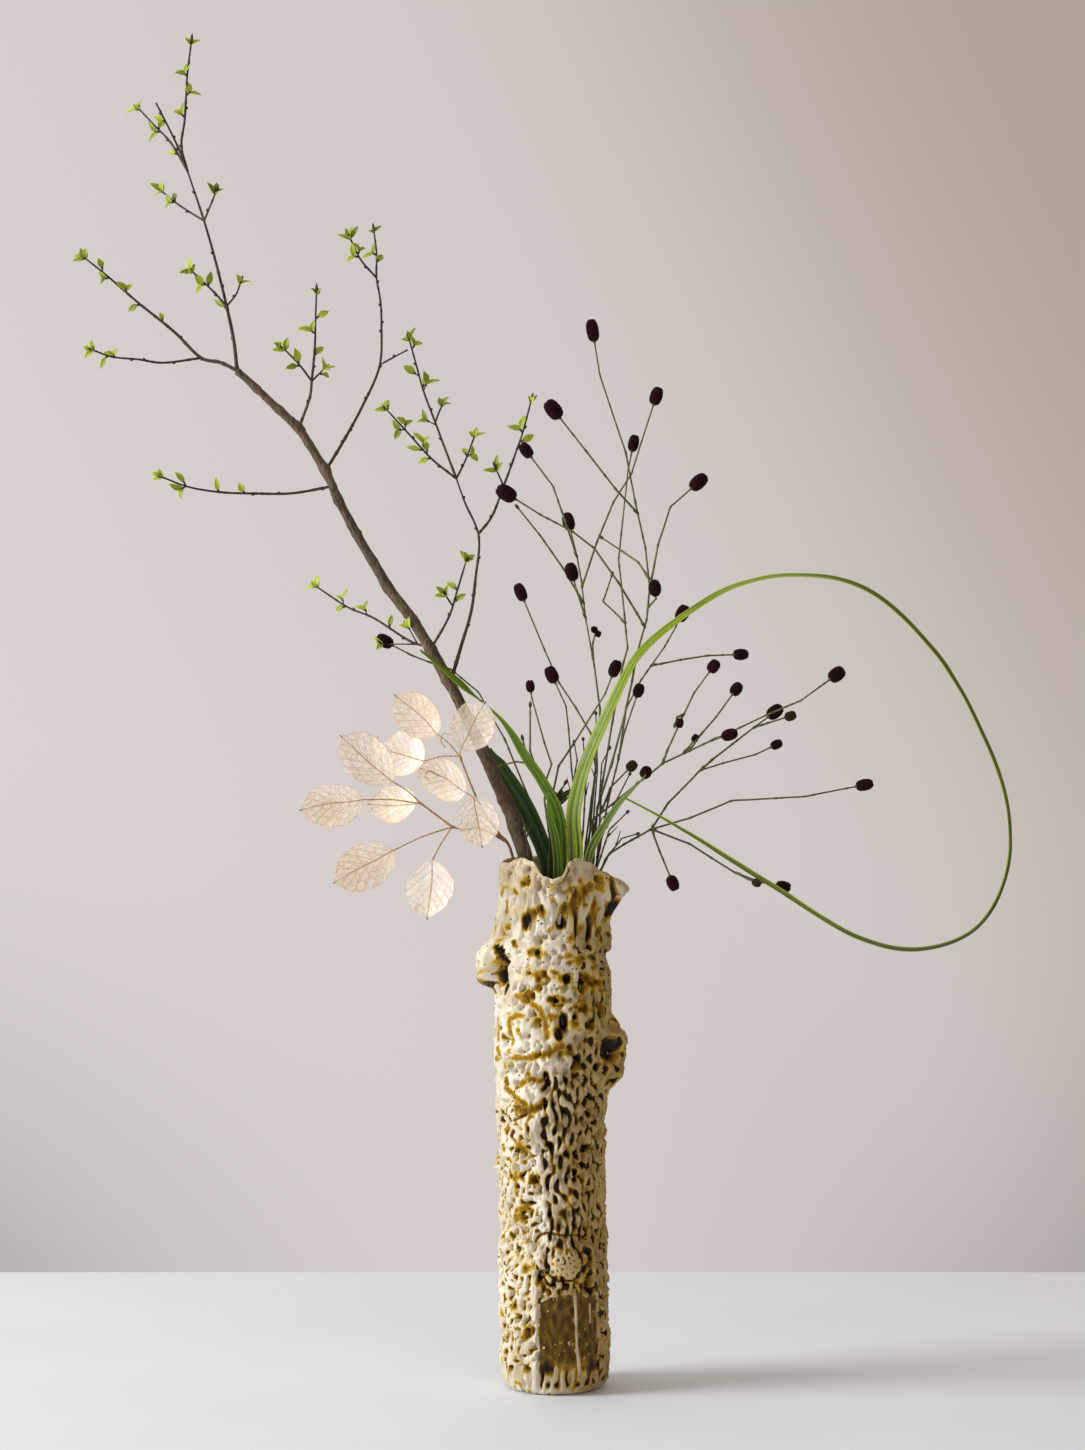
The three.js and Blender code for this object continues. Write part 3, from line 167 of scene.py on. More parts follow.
# Shoots of the branch: radius, route, the spurs it bears as [place along it, side (1 is
# left of its growth, -1 right), reach, leaves], places of its dark buds, leaves at its end.
SHOOTS = [
    (3, [
        [-225, 30, 714], [-237, 32, 720], [-250, 34, 723], [-270, 36, 742], [-296, 34, 763],
        [-317, 26, 781], [-331, 20, 792]],
        [[0.48, -1, 2, 1], [0.63, 1, 2, 1], [0.72, -1, 2, 2], [0.84, 1, 3, 2], [0.89, -1, 3, 1]],
        [0.2, 0.35], 4),
    (1.7, [[-250, 33, 723], [-277, 16, 718], [-291, 5, 719], [-309, -14, 719], [-319, -25, 722]],
        [[0.78, -1, 2, 2], [0.85, 1, 1.5, 1]], [0.25, 0.5, 0.62], 4),
    (3, [
        [-225, 30, 714], [-227, 28, 734], [-232, 26, 759], [-240, 20, 793], [-247, 17, 818],
        [-258, 12, 852]],
        [[0.3, 1, 2, 1]], [0.16, 0.42, 0.58, 0.75, 0.9], 0),
    (1.8, [[-258, 12, 852], [-262, 8, 869], [-259, 3, 888], [-257, -1, 916], [-254, -4, 938]],
        [[0.42, 1, 3, 2], [0.6, -1, 3, 2], [0.75, 1, 2, 2]], [0.2, 0.5], 2),
    (1.5, [[-258, 12, 852], [-271, 20, 874], [-283, 25, 887], [-294, 31, 899]],
        [[0.25, 1, 1.5, 1], [0.62, 1, 2.5, 2], [0.64, -1, 1.5, 1]], [0.45], 4),
    (1.5, [[-258, 12, 852], [-264, 2, 868], [-271, -8, 883], [-277, -16, 895]],
        [[0.7, 1, 1.5, 1]], [0.3, 0.5, 0.85], 0),
    (1.4, [[-247, 17, 818], [-241, 8, 829], [-238, 4, 835]], [], [0.4], 3),
    (1.5, [[-247, 17, 818], [-266, 26, 831], [-278, 32, 841]],
        [[0.7, 1, 2.5, 2], [0.66, -1, 2, 1]], [0.35], 5),
    (1.4, [[-232, 26, 759], [-226, 38, 770], [-224, 42, 777]], [], [0.5], 3),
    (1.5, [[-232, 26, 759], [-240, 21, 768], [-254, 12, 781]],
        [[0.6, 1, 2.5, 2], [0.55, -1, 2, 1]], [0.3], 5),
    (2.2, [
        [-181, 28, 673], [-178, 24, 680], [-172, 13, 694], [-170, 2, 704], [-167, -10, 726],
        [-166, -18, 743], [-165, -24, 761]],
        [[0.58, -1, 1.5, 1], [0.72, 1, 3, 2], [0.83, -1, 2.5, 1]], [0.2, 0.49], 3),
    (1.4, [[-170, 2, 704], [-178, -8, 714], [-187, -18, 723]],
        [[0.45, 1, 2, 1], [0.5, -1, 1.5, 1]], [], 4),
    (1.3, [[-170, 2, 704], [-163, 10, 712]], [[0.6, -1, 2, 1]], [], 3),
    (2.4, [
        [-162, 27, 643], [-149, 35, 666], [-136, 44, 692], [-125, 52, 720], [-124, 58, 749],
        [-125, 62, 768], [-128, 66, 785], [-128, 69, 802], [-130, 72, 818]],
        [[0.885, -1, 1.5, 1], [0.905, 1, 2.5, 2]], [0.13, 0.19, 0.32, 0.46, 0.6, 0.64, 0.71, 0.8], 2),
    (1.4, [[-128, 66, 785], [-139, 60, 797], [-146, 54, 811]],
        [[0.55, 1, 3, 2], [0.65, -1, 2.5, 2]], [0.3], 5),
    (1, [[-125, 52, 720], [-115, 52, 726], [-105, 50, 731]], [], [0.5], 0),
    (2, [
        [-160, 27, 630], [-185, 16, 626], [-210, 4, 625], [-233, -9, 625], [-254, -17, 628],
        [-271, -24, 634]],
        [[0.51, -1, 1.5, 1], [0.68, -1, 1.5, 1], [0.86, -1, 3, 1], [0.87, 1, 3, 2]],
        [0.05, 0.31, 0.47], 4),
    (3, [
        [-73, 14, 492], [-66, 21, 518], [-59, 28, 543], [-56, 35, 567], [-54, 43, 598], [-64, 47, 622],
        [-70, 50, 639]],
        [], [0.1, 0.28, 0.42, 0.6, 0.75, 0.9], 0),
    (1.6, [[-70, 50, 639], [-87, 41, 652], [-103, 32, 669], [-118, 22, 685]],
        [[0.33, 1, 2, 1], [0.45, 1, 2, 1], [0.46, -1, 5, 2], [0.4, -1, 3, 1], [0.72, 1, 4, 2],
        [0.74, -1, 4, 2]],
        [0.2, 0.6], 4),
    (1.7, [
        [-70, 50, 639], [-81, 55, 668], [-85, 57, 679], [-94, 59, 703], [-99, 61, 721], [-104, 62, 739]],
        [[0.39, 1, 7, 3], [0.64, -1, 5, 2], [0.66, -1, 2, 1], [0.757, 1, 4, 1], [0.93, -1, 3, 2]],
        [0.3, 0.5, 0.84], 4),
    (1.2, [[-85, 57, 679], [-83, 61, 687], [-81, 64, 692]], [], [], 4),
    (1.4, [[-70, 50, 639], [-64, 57, 652], [-58, 66, 669]],
        [[0.55, 1, 2, 1], [0.54, -1, 2, 2]], [0.3], 4),
    (1.8, [
        [-54, 43, 598], [-45, 47, 611], [-36, 49, 634], [-29, 47, 653], [-22, 44, 673], [-17, 42, 692]],
        [[0.72, -1, 2, 1], [0.79, 1, 3, 2]], [0.15, 0.35, 0.55, 0.83], 3),
    (1.2, [[-36, 49, 634], [-41, 42, 644]], [], [], 3),
    (2, [[-87, 16, 516], [-74, 8, 539], [-68, 0, 557], [-62, -8, 576]],
        [[0.55, -1, 2, 1], [0.7, 1, 1.5, 1]], [0.4], 4),
    (1.2, [[-72, 4, 545], [-76, -5, 553]], [], [], 4),
    (1.8, [[-90, 16, 517], [-100, 20, 521], [-129, 31, 539], [-146, 37, 546], [-169, 46, 561]],
        [[0.1, 0.3, 24, 3], [0.1, -1, 13, 3], [0.545, -1, 4, 3], [0.73, 1, 2, 1], [0.74, -1, 4, 2],
        [0.35, -1, 2, 1]],
        [0.2, 0.65], 4),
    (1.2, [[-118, 21, 560], [-121, 14, 570]], [], [0.5], 0),
]

# Twigs of the skeleton leaves; the first one goes on from the stem in the mouth.
SPRAY_TWIGS = [
    [[-28, -9, 366], [-33, -11, 381], [-41, -12, 388]],
    [[-33, -11, 381], [-53, -14, 391], [-63, -17, 390], [-71, -20, 392]],
    [[-71, -20, 392], [-92, -26, 408]],
    [[-38, -12, 386], [-49, -14, 402], [-56, -16, 416], [-66, -14, 441]],
]

# Skeleton leaves: root of the stalk, base and tip of the leaf, width, roll in degrees.
SKELETONS = [
    ([-92, -26, 408], [-112, -33, 424], [-147, -39, 455], 32, 10),
    ([-92, -26, 408], [-132, -36, 411], [-174, -46, 404], 31, -14),
    ([-66, -14, 441], [-91, -9, 438], [-122, -1, 447], 34, 14),
    ([-66, -14, 441], [-82, -12, 456], [-111, -18, 483], 31, -18),
    ([-66, -14, 441], [-65, -16, 446], [-48, -20, 478], 32, 10),
    ([-49, -14, 402], [-56, -21, 413], [-50, -28, 379], 30, -8),
    ([-71, -20, 392], [-111, -37, 376], [-151, -43, 354], 33, -14),
    ([-71, -20, 392], [-85, -29, 369], [-88, -37, 330], 34, 12),
    ([-92, -26, 408], [-96, -20, 409], [-130, -12, 408], 30, 30),
    ([-53, -14, 407], [-62, -10, 415], [-96, -2, 433], 30, -24),
]

# Strap leaves. The colours are light, dark and edge; the dark one also gives the painted shade
# low on each blade. By the place along the blade there are its width, its roll in degrees and,
# where it changes, the share of its light tone, lowered for painted shade on the loop.
# A blade ends at the share "end" of its route.
STRAPS = [
    {
        "name": "strap_leaf_dark",
        "colours": ((34, 64, 6), (8, 24, 2), (58, 92, 16)),
        "route": [
            [-3, 20, 350], [-6, 20, 370], [-18, 20, 398], [-31, 21, 420], [-40, 21, 434], [-46, 22, 446],
        ],
        "width": [[0, 8], [0.25, 12], [0.6, 15], [0.85, 13], [1, 3]],
        "roll": [[0, 80], [1, 70]],
    },
    {
        "name": "strap_leaf_left",
        "colours": ((84, 116, 6), (26, 50, 3), (128, 156, 24)),
        "route": [
            [5, 2, 350], [5, 1, 375], [2, -2, 402], [-9, -5, 424], [-19, -7, 439], [-35, -7, 464],
            [-55, -5, 482], [-72, -3, 497], [-89, -1, 511], [-94, 0, 515],
        ],
        "width": [[0, 7], [0.2, 9], [0.5, 7.5], [0.75, 6.5], [1, 1.6]],
        "roll": [[0, 85], [0.45, 60], [0.7, 10], [0.85, -60], [1, -70]],
    },
    {
        "name": "strap_leaf_loop",
        "colours": ((110, 136, 10), (34, 46, 4), (164, 182, 44)),
        "route": [
            [13, -13, 350], [14, -13, 376], [13, -16, 400], [16, -17, 418], [21, -19, 435],
            [38, -23, 474], [57, -27, 510], [87, -31, 537], [125, -35, 559], [167, -39, 566],
            [212, -43, 557], [259, -48, 515], [293, -50, 457], [311, -50, 401], [308, -49, 357],
            [288, -48, 323], [249, -47, 309], [211, -46, 316], [144, -42, 356], [81, -37, 395],
            [47, -34, 413],
        ],
        "width": [[0, 8], [0.03, 12], [0.1, 11], [0.25, 9], [0.6, 8], [0.85, 6], [1, 1.6]],
        "roll": [
            [0, 80], [0.06, 58], [0.12, 44], [0.19, 32], [0.255, 24], [0.325, 15], [0.4, 24], [0.6, 22],
            [0.8, 28], [1, 45],
        ],
        # Painted shade darkens the loop's far side.
        "shaded_tones": [[0, 1], [0.3, 1], [0.42, 0.45], [0.62, 0.35], [0.8, 0.75], [1, 0.9]],
    },
    {
        "name": "strap_leaf_short",
        "colours": ((76, 104, 8), (26, 46, 4), (120, 146, 30)),
        "route": [[2, -10, 350], [2, -11, 369], [0, -13, 386], [-4, -15, 402], [-5, -17, 416]],
        "width": [[0, 6], [0.5, 6.5], [1, 1.4]],
        "roll": [[0, 75], [1, 60]],
    },
    {
        "name": "strap_leaf_right",
        "colours": ((86, 110, 16), (26, 44, 6), (146, 168, 58)),
        "route": [
            [21, -16, 350], [25, -15, 375], [34, -20, 392], [45, -27, 409], [60, -37, 425], [66, -42, 434],
        ],
        "width": [[0, 5], [0.3, 6], [0.6, 4.6], [1, 1]],
        "roll": [[0, 85], [1, 50]],
        "end": 0.93,
    },
]

# Burnets: node, place in the mouth, radius, and stems as (length and width of the head
# or None for a closed bud, route). All but the first grow from the stems before them.
BURNETS = [
    ("burnet_tall", (26, -1, 350), 1.5, [
        ((16, 9.5), [
            [28, -2, 380], [30, -3, 405], [40, -5, 436], [48, -7, 466], [54, -9, 493], [57, -11, 511],
            [64, -14, 536], [66, -17, 558], [63, -21, 585], [56, -25, 616], [49, -30, 651],
            [38, -34, 683], [31, -37, 704], [26, -40, 734]
        ]),
        ((15, 12), [[58, -25, 609], [42, -37, 625], [21, -47, 651], [-1, -56, 678]]),
        ((15, 12), [
            [62, -14, 531], [44, -31, 561], [27, -44, 584], [12, -53, 595], [-10, -61, 606],
            [-33, -68, 620]
        ]),
        ((15, 11), [[66, -17, 557], [72, -13, 588], [81, -4, 615], [101, 4, 633]]),
        ((14, 9.5), [[66, -17, 545], [70, -27, 550], [69, -36, 557]]),
        (None, [[65, -18, 565], [58, -14, 576], [47, -8, 584], [34, -2, 593]]),
    ]),
    ("burnet_middle", (22, 3, 350), 1.4, [
        ((13.5, 9.5), [
            [24, 4, 380], [28, 7, 423], [32, 12, 474], [28, 15, 505], [22, 19, 538], [19, 23, 565],
            [16, 26, 582], [10, 30, 607]
        ]),
        ((13.5, 10), [
            [20, 22, 560], [30, 28, 592], [42, 36, 621], [55, 42, 642], [62, 46, 664], [73, 50, 698]
        ]),
        ((13.5, 10), [[22, 19, 538], [16, 9, 556], [12, 2, 570]]),
        ((12, 9), [[16, 26, 582], [5, 19, 614], [-1, 17, 631], [-20, 12, 656]]),
        (None, [[21, 20, 548], [6, 10, 573], [-10, -4, 595], [-25, -16, 613]]),
        (None, [[27, 16, 510], [27, 19, 520], [29, 21, 528]]),
    ]),
    ("burnet_rear", (28, 5, 350), 1.3, [
        ((12.5, 8.5), [
            [31, 6, 380], [33, 13, 417], [41, 22, 465], [49, 31, 507], [52, 33, 517], [50, 38, 540],
            [46, 47, 581], [48, 50, 600], [53, 56, 646], [57, 58, 665]
        ]),
        (None, [[51, 36, 535], [35, 46, 551], [41, 54, 569]]),
    ]),
    ("burnet_thick", (-2, 11, 350), 2.2, [
        ((12.5, 9), [
            [-2, 12, 380], [-2, 11, 411], [3, 5, 434], [13, -1, 449], [23, -6, 465], [35, -10, 484],
            [42, -12, 502]
        ]),
        (None, [[-2, 11, 408], [3, 6, 414], [7, 3, 421]]),
        (None, [[-2, 11, 404], [5, 9, 408], [10, 8, 412]]),
    ]),
    ("burnet_arching", (27, 10, 350), 1.3, [
        ((12.5, 10.5), [
            [32, 10, 380], [38, 13, 410], [45, 16, 438], [51, 21, 475], [61, 24, 494], [68, 26, 504],
            [78, 28, 518], [86, 31, 532], [91, 32, 542]
        ]),
        ((11, 9), [[68, 26, 504], [90, 29, 509], [109, 35, 512], [133, 42, 513]]),
        ((10, 8.5), [[45, 16, 438], [49, 11, 457], [59, 4, 487]]),
    ]),
    ("burnet_back_left", (19, 8, 350), 1.2, [
        ((13.5, 9), [
            [22, 8, 380], [26, 11, 410], [29, 12, 431], [26, 15, 456], [15, 17, 475], [3, 20, 493],
            [-7, 25, 516], [-24, 32, 557]
        ]),
    ]),
    ("burnet_slender", (14, 2, 350), 1.2, [
        ((12.5, 10), [[16, 2, 380], [16, 3, 402], [12, 5, 431], [10, 6, 459], [8, 5, 476], [-2, 4, 498]]),
    ]),
    ("burnet_young", (-5, 4, 350), 1.4, [
        ((8.5, 6.5), [
            [-3, 2, 380], [-7, 0, 410], [-6, 1, 424], [-2, 4, 435], [-7, 6, 450], [-16, 9, 482],
            [-17, 9, 490]
        ]),
        (None, [[-6, 1, 424], [-14, -1, 436], [-17, 0, 444], [-17, -1, 475]]),
        (None, [[-14, -1, 436], [-19, 0, 440], [-22, -2, 452]]),
        (None, [[-14, -1, 436], [-27, 2, 437], [-35, 0, 435]]),
    ]),
    ("burnet_far_left", (-8, 26, 350), 1.2, [
        ((13, 10), [
            [-9, 28, 378], [-19, 32, 413], [-35, 35, 452], [-54, 34, 486], [-73, 31, 502], [-88, 29, 507],
            [-101, 27, 512], [-120, 22, 522]
        ]),
    ]),
    ("burnet_right_low", (28, -8, 350), 1.4, [
        ((12.5, 9), [
            [32, -10, 361], [38, -12, 373], [49, -12, 380], [67, -13, 390], [94, -14, 398],
            [123, -16, 410], [174, -14, 413], [216, -10, 421]
        ]),
        ((11, 9), [[67, -13, 390], [73, -16, 375], [82, -20, 353]]),
        ((10.5, 8.5), [
            [67, -13, 390], [94, -17, 380], [108, -20, 371], [124, -23, 361], [142, -26, 354],
            [158, -28, 351]
        ]),
        ((6.5, 6), [[126, -23, 360], [134, -31, 356], [139, -36, 354]]),
        ((8.5, 7), [
            [67, -13, 390], [79, -9, 408], [102, -2, 431], [118, 1, 436], [141, 5, 442], [156, 8, 449]
        ]),
        ((13, 10.5), [[102, -2, 431], [110, 2, 438], [134, 14, 456], [156, 24, 472]]),
        ((8, 7.5), [[140, 17, 461], [150, 14, 464], [166, 11, 469]]),
    ]),
    ("burnet_right_high", (19, -6, 350), 1.4, [
        ((12.5, 11), [
            [22, -7, 377], [27, -11, 397], [44, -16, 411], [64, -18, 427], [75, -19, 436], [94, -19, 445],
            [109, -19, 452], [129, -17, 461], [146, -14, 469], [172, -10, 480], [197, -6, 498]
        ]),
        ((9.5, 9), [[75, -19, 436], [78, -23, 445], [89, -34, 470], [96, -38, 485], [109, -44, 503]]),
        ((10, 9), [[94, -19, 445], [102, -7, 456], [113, 3, 468], [128, 12, 488]]),
        ((12, 9), [[109, -19, 452], [121, -27, 456]]),
        ((8, 8), [[33, -13, 402], [39, -7, 419], [54, -2, 434]]),
        ((9, 9), [[57, -17, 421], [61, -22, 425], [63, -29, 430]]),
        (None, [[89, -34, 470], [84, -37, 468], [83, -40, 464]]),
        (None, [[90, -19, 443], [98, -9, 453]]),
    ]),
]
# Where the rim curls over and where its beak is, with half widths, all in degrees.
CURL = {"angle": -92, "wide": 34}
BEAK = {"angle": -14, "wide": 34}

# ---------------------------------------------------------------- small helpers


def smooth(value, low, high):
    """0 below low, 1 above high and a smooth step between them."""
    t = np.clip((value - low) / (high - low), 0, 1)
    return t * t * (3 - 2 * t)


def mix(a, b, t):
    """The value between a and b at the share t."""
    return a + (b - a) * t


def along(pairs, place):
    """Values that run through [place, value] pairs, held level past both ends."""
    place = np.asarray(place, float)
    result = np.full(place.shape, float(pairs[0][1]))
    for (start, a), (end, b) in zip(pairs, pairs[1:]):
        result = np.where(place >= start, mix(a, b, smooth(place, start, end)), result)
    return result


def unit(vector):
    vector = np.asarray(vector, float)
    length = np.linalg.norm(vector, axis=-1, keepdims=True)
    return vector / np.maximum(length, 1e-9)


def turned(vector, axis, angle):
    """A vector turned round a unit axis by an angle in radians."""
    vector, axis = np.asarray(vector, float), unit(axis)
    across = np.cross(axis, vector)
    along_axis = axis * np.dot(axis, vector)
    return vector * math.cos(angle) + across * math.sin(angle) + along_axis * (1 - math.cos(angle))


class Noise:
    """Smooth value noise between -1 and 1 on a repeating lattice."""

    SIZE = 32

    def __init__(self, seed):
        self.lattice = np.random.default_rng(seed).uniform(-1, 1, (self.SIZE,) * 3)

    def __call__(self, points, scale, octaves=1):
        total, weight = 0.0, 0.0
        points = np.asarray(points, float)
        for octave in range(octaves):
            share = 0.5**octave
            total = total + share * self._layer(points * 2**octave / scale)
            weight += share
        return total / weight

    def _layer(self, points):
        base = np.floor(points).astype(int)
        t = points - base
        t = t * t * (3 - 2 * t)
        value = 0.0
        for corner in np.ndindex(2, 2, 2):
            share = np.prod(np.where(corner, t, 1 - t), axis=-1)
            x, y, z = np.moveaxis((base + corner) % self.SIZE, -1, 0)
            value = value + share * self.lattice[x, y, z]
        return value


noise = Noise(5)


def smooth_path(points, step):
    """Points about a step apart on a centripetal Catmull-Rom curve through some others."""
    p = np.asarray(points, float)
    if len(p) == 2:
        count = max(2, round(np.linalg.norm(p[1] - p[0]) / step) + 1)
        return np.linspace(p[0], p[1], count)
    p = np.vstack([2 * p[0] - p[1], p, 2 * p[-1] - p[-2]])
    knots = np.concatenate([[0], np.cumsum(np.sqrt(np.linalg.norm(np.diff(p, axis=0), axis=1)))])
    dense = []
    for i in range(1, len(p) - 2):
        k = knots[i - 1 : i + 3]
        t = np.linspace(k[1], k[2], 16, endpoint=False)[:, None]
        near = [
            ((k[j + 1] - t) * p[i - 1 + j] + (t - k[j]) * p[i + j]) / (k[j + 1] - k[j])
            for j in range(3)
        ]
        wide = [
            ((k[j + 2] - t) * near[j] + (t - k[j]) * near[j + 1]) / (k[j + 2] - k[j])
            for j in range(2)
        ]
        dense.append(((k[2] - t) * wide[0] + (t - k[1]) * wide[1]) / (k[2] - k[1]))
    return resampled(np.vstack([*dense, p[-2:-1]]), step)


def resampled(points, step):
    """A row of points spaced evenly, about a step apart, along another row."""
    lengths = np.concatenate([[0], np.cumsum(np.linalg.norm(np.diff(points, axis=0), axis=1))])
    count = max(2, round(lengths[-1] / step) + 1)
    places = np.linspace(0, lengths[-1], count)
    return np.stack([np.interp(places, lengths, points[:, k]) for k in range(3)], axis=1)


def kinked(points):
    """A row of points with two more on each leg, so that its path bends sharply."""
    points = np.asarray(points, float)
    rows = [points[:1]]
    for a, b in zip(points, points[1:]):
        rows.append(np.array([mix(a, b, 0.22), mix(a, b, 0.78), b]))
    return np.vstack(rows)


def frames(path):
    """Unit tangents of a path and two unit normals that don't twist round it."""
    tangents = unit(np.gradient(path, axis=0))
    side = np.cross((0.31, 0.9, 0.2), tangents[0])
    sides = []
    for tangent in tangents:
        side = unit(side - tangent * np.dot(side, tangent))
        sides.append(side)
    sides = np.array(sides)
    return tangents, sides, np.cross(tangents, sides)


def nearest_on(paths, point):
    """The point of some paths that lies nearest to a given point."""
    everything = np.vstack([smooth_path(path, 2.0) for path in paths])
    return everything[np.argmin(np.linalg.norm(everything - np.asarray(point), axis=1))]


# ---------------------------------------------------------------- mesh building


class Shape:
    """The points, faces and per-point values of one piece, gathered part by part."""

    def __init__(self):
        self.points = []
        self.faces = []
        self.face_materials = []
        self.values = {}
        self.count = 0

    def add(self, points, faces, material=0, **values):
        """Adds a closed skin with the values at its points, each a row or one number."""
        points = np.asarray(points, float).reshape(-1, 3)
        self.points.append(points)
        self.faces.extend([[i + self.count for i in face] for face in faces])
        self.face_materials.extend([material] * len(faces))
        for name, value in values.items():
            spread = np.broadcast_to(np.asarray(value, float).reshape(-1), (len(points),))
            self.values.setdefault(name, []).append((self.count, spread))
        self.count += len(points)

    def build(self, name, materials, slot, *nodes):
        """Makes the piece, shades it smooth and puts it in place of its CAD nodes."""
        mesh = bpy.data.meshes.new(name)
        mesh.from_pydata((np.vstack(self.points) * MM).tolist(), [], self.faces)
        for material in materials:
            mesh.materials.append(material)
        mesh.polygons.foreach_set("material_index", self.face_materials)
        mesh.polygons.foreach_set("use_smooth", [True] * len(self.faces))
        for label, parts in self.values.items():
            layer = mesh.attributes.new(label, "FLOAT", "POINT")
            spread = np.zeros(self.count, np.float32)
            for start, part in parts:
                spread[start : start + len(part)] = part
            layer.data.foreach_set("value", spread)
        mesh.update()
        piece = bpy.data.objects.new(name, mesh)
        bpy.context.scene.collection.objects.link(piece)
        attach(piece, "root")
        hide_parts(*nodes)
        return piece


def wrapped_faces(rows, columns):
    """Faces of a grid that closes on itself across its columns."""
    i, j = np.meshgrid(np.arange(rows - 1), np.arange(columns), indexing="ij")
    a, b = i * columns + j, i * columns + (j + 1) % columns
    return np.stack([a, b, b + columns, a + columns], axis=-1).reshape(-1, 4).tolist()


def capped_faces(rows, columns):
    """Faces of a closed skin: rings, then one point at the start and one at the end."""
    faces = wrapped_faces(rows, columns)
    start, end, last = rows * columns, rows * columns + 1, (rows - 1) * columns
    for j in range(columns):
        k = (j + 1) % columns
        faces += [[start, k, j], [end, last + j, last + k]]
    return faces


def tube(shape, path, radii, sides, material=0, relief=0.0, blunt=0.4, **values):
    """A closed tube along a path, with a radius at each point and a relief in millimetres."""
    tangents, across, other = frames(path)
    rows = len(path)
    radii = np.broadcast_to(np.asarray(radii, float), (rows,))
    angles = np.arange(sides) / sides * 2 * math.pi
    ring = across[:, None] * np.cos(angles)[None, :, None]
    ring = ring + other[:, None] * np.sin(angles)[None, :, None]
    points = path[:, None] + ring * (radii[:, None, None] + np.asarray(relief)[..., None])
    ends = [path[0] - tangents[0] * radii[0] * blunt, path[-1] + tangents[-1] * radii[-1] * blunt]
    spread = {}
    for name, value in values.items():
        value = np.asarray(value, float)
        if value.ndim == 1:
            value = np.repeat(value[:, None], sides, axis=1)
        if value.ndim == 2:
            value = np.concatenate([value.reshape(-1), value[0, :1], value[-1, :1]])
        spread[name] = value
    skin = np.vstack([points.reshape(-1, 3), ends])
    shape.add(skin, capped_faces(rows, sides), material, **spread)


def blade(shape, grid, thickness, material, **values):
    """A thin closed leaf over a grid of points, with a thickness for all or for each."""
    rows, columns = grid.shape[:2]
    run, across = np.gradient(grid, axis=0), np.gradient(grid, axis=1)
    normals = unit(np.cross(across, run))
    half = np.asarray(thickness, float) / 2
    half = np.broadcast_to(half, (rows, columns))[..., None]
    skin = np.concatenate([(grid + normals * half), (grid - normals * half)])
    size = rows * columns
    faces = []
    for i in range(rows - 1):
        for j in range(columns - 1):
            a = i * columns + j
            quad = [a, a + 1, a + columns + 1, a + columns]
            faces += [quad, [size + k for k in reversed(quad)]]
    edge = list(range(columns - 1))
    edge += [i * columns + columns - 1 for i in range(rows - 1)]
    edge += [(rows - 1) * columns + columns - 1 - j for j in range(columns - 1)]
    edge += [(rows - 1 - i) * columns for i in range(rows - 1)]
    for a, b in zip(edge, edge[1:] + edge[:1]):
        faces.append([a, size + a, size + b, b])
    doubled = {}
    for name, value in values.items():
        value = np.broadcast_to(np.asarray(value, float), (rows, columns)).reshape(-1)
        doubled[name] = np.concatenate([value, value])
    shape.add(skin, faces, material, **doubled)


# ---------------------------------------------------------------- materials


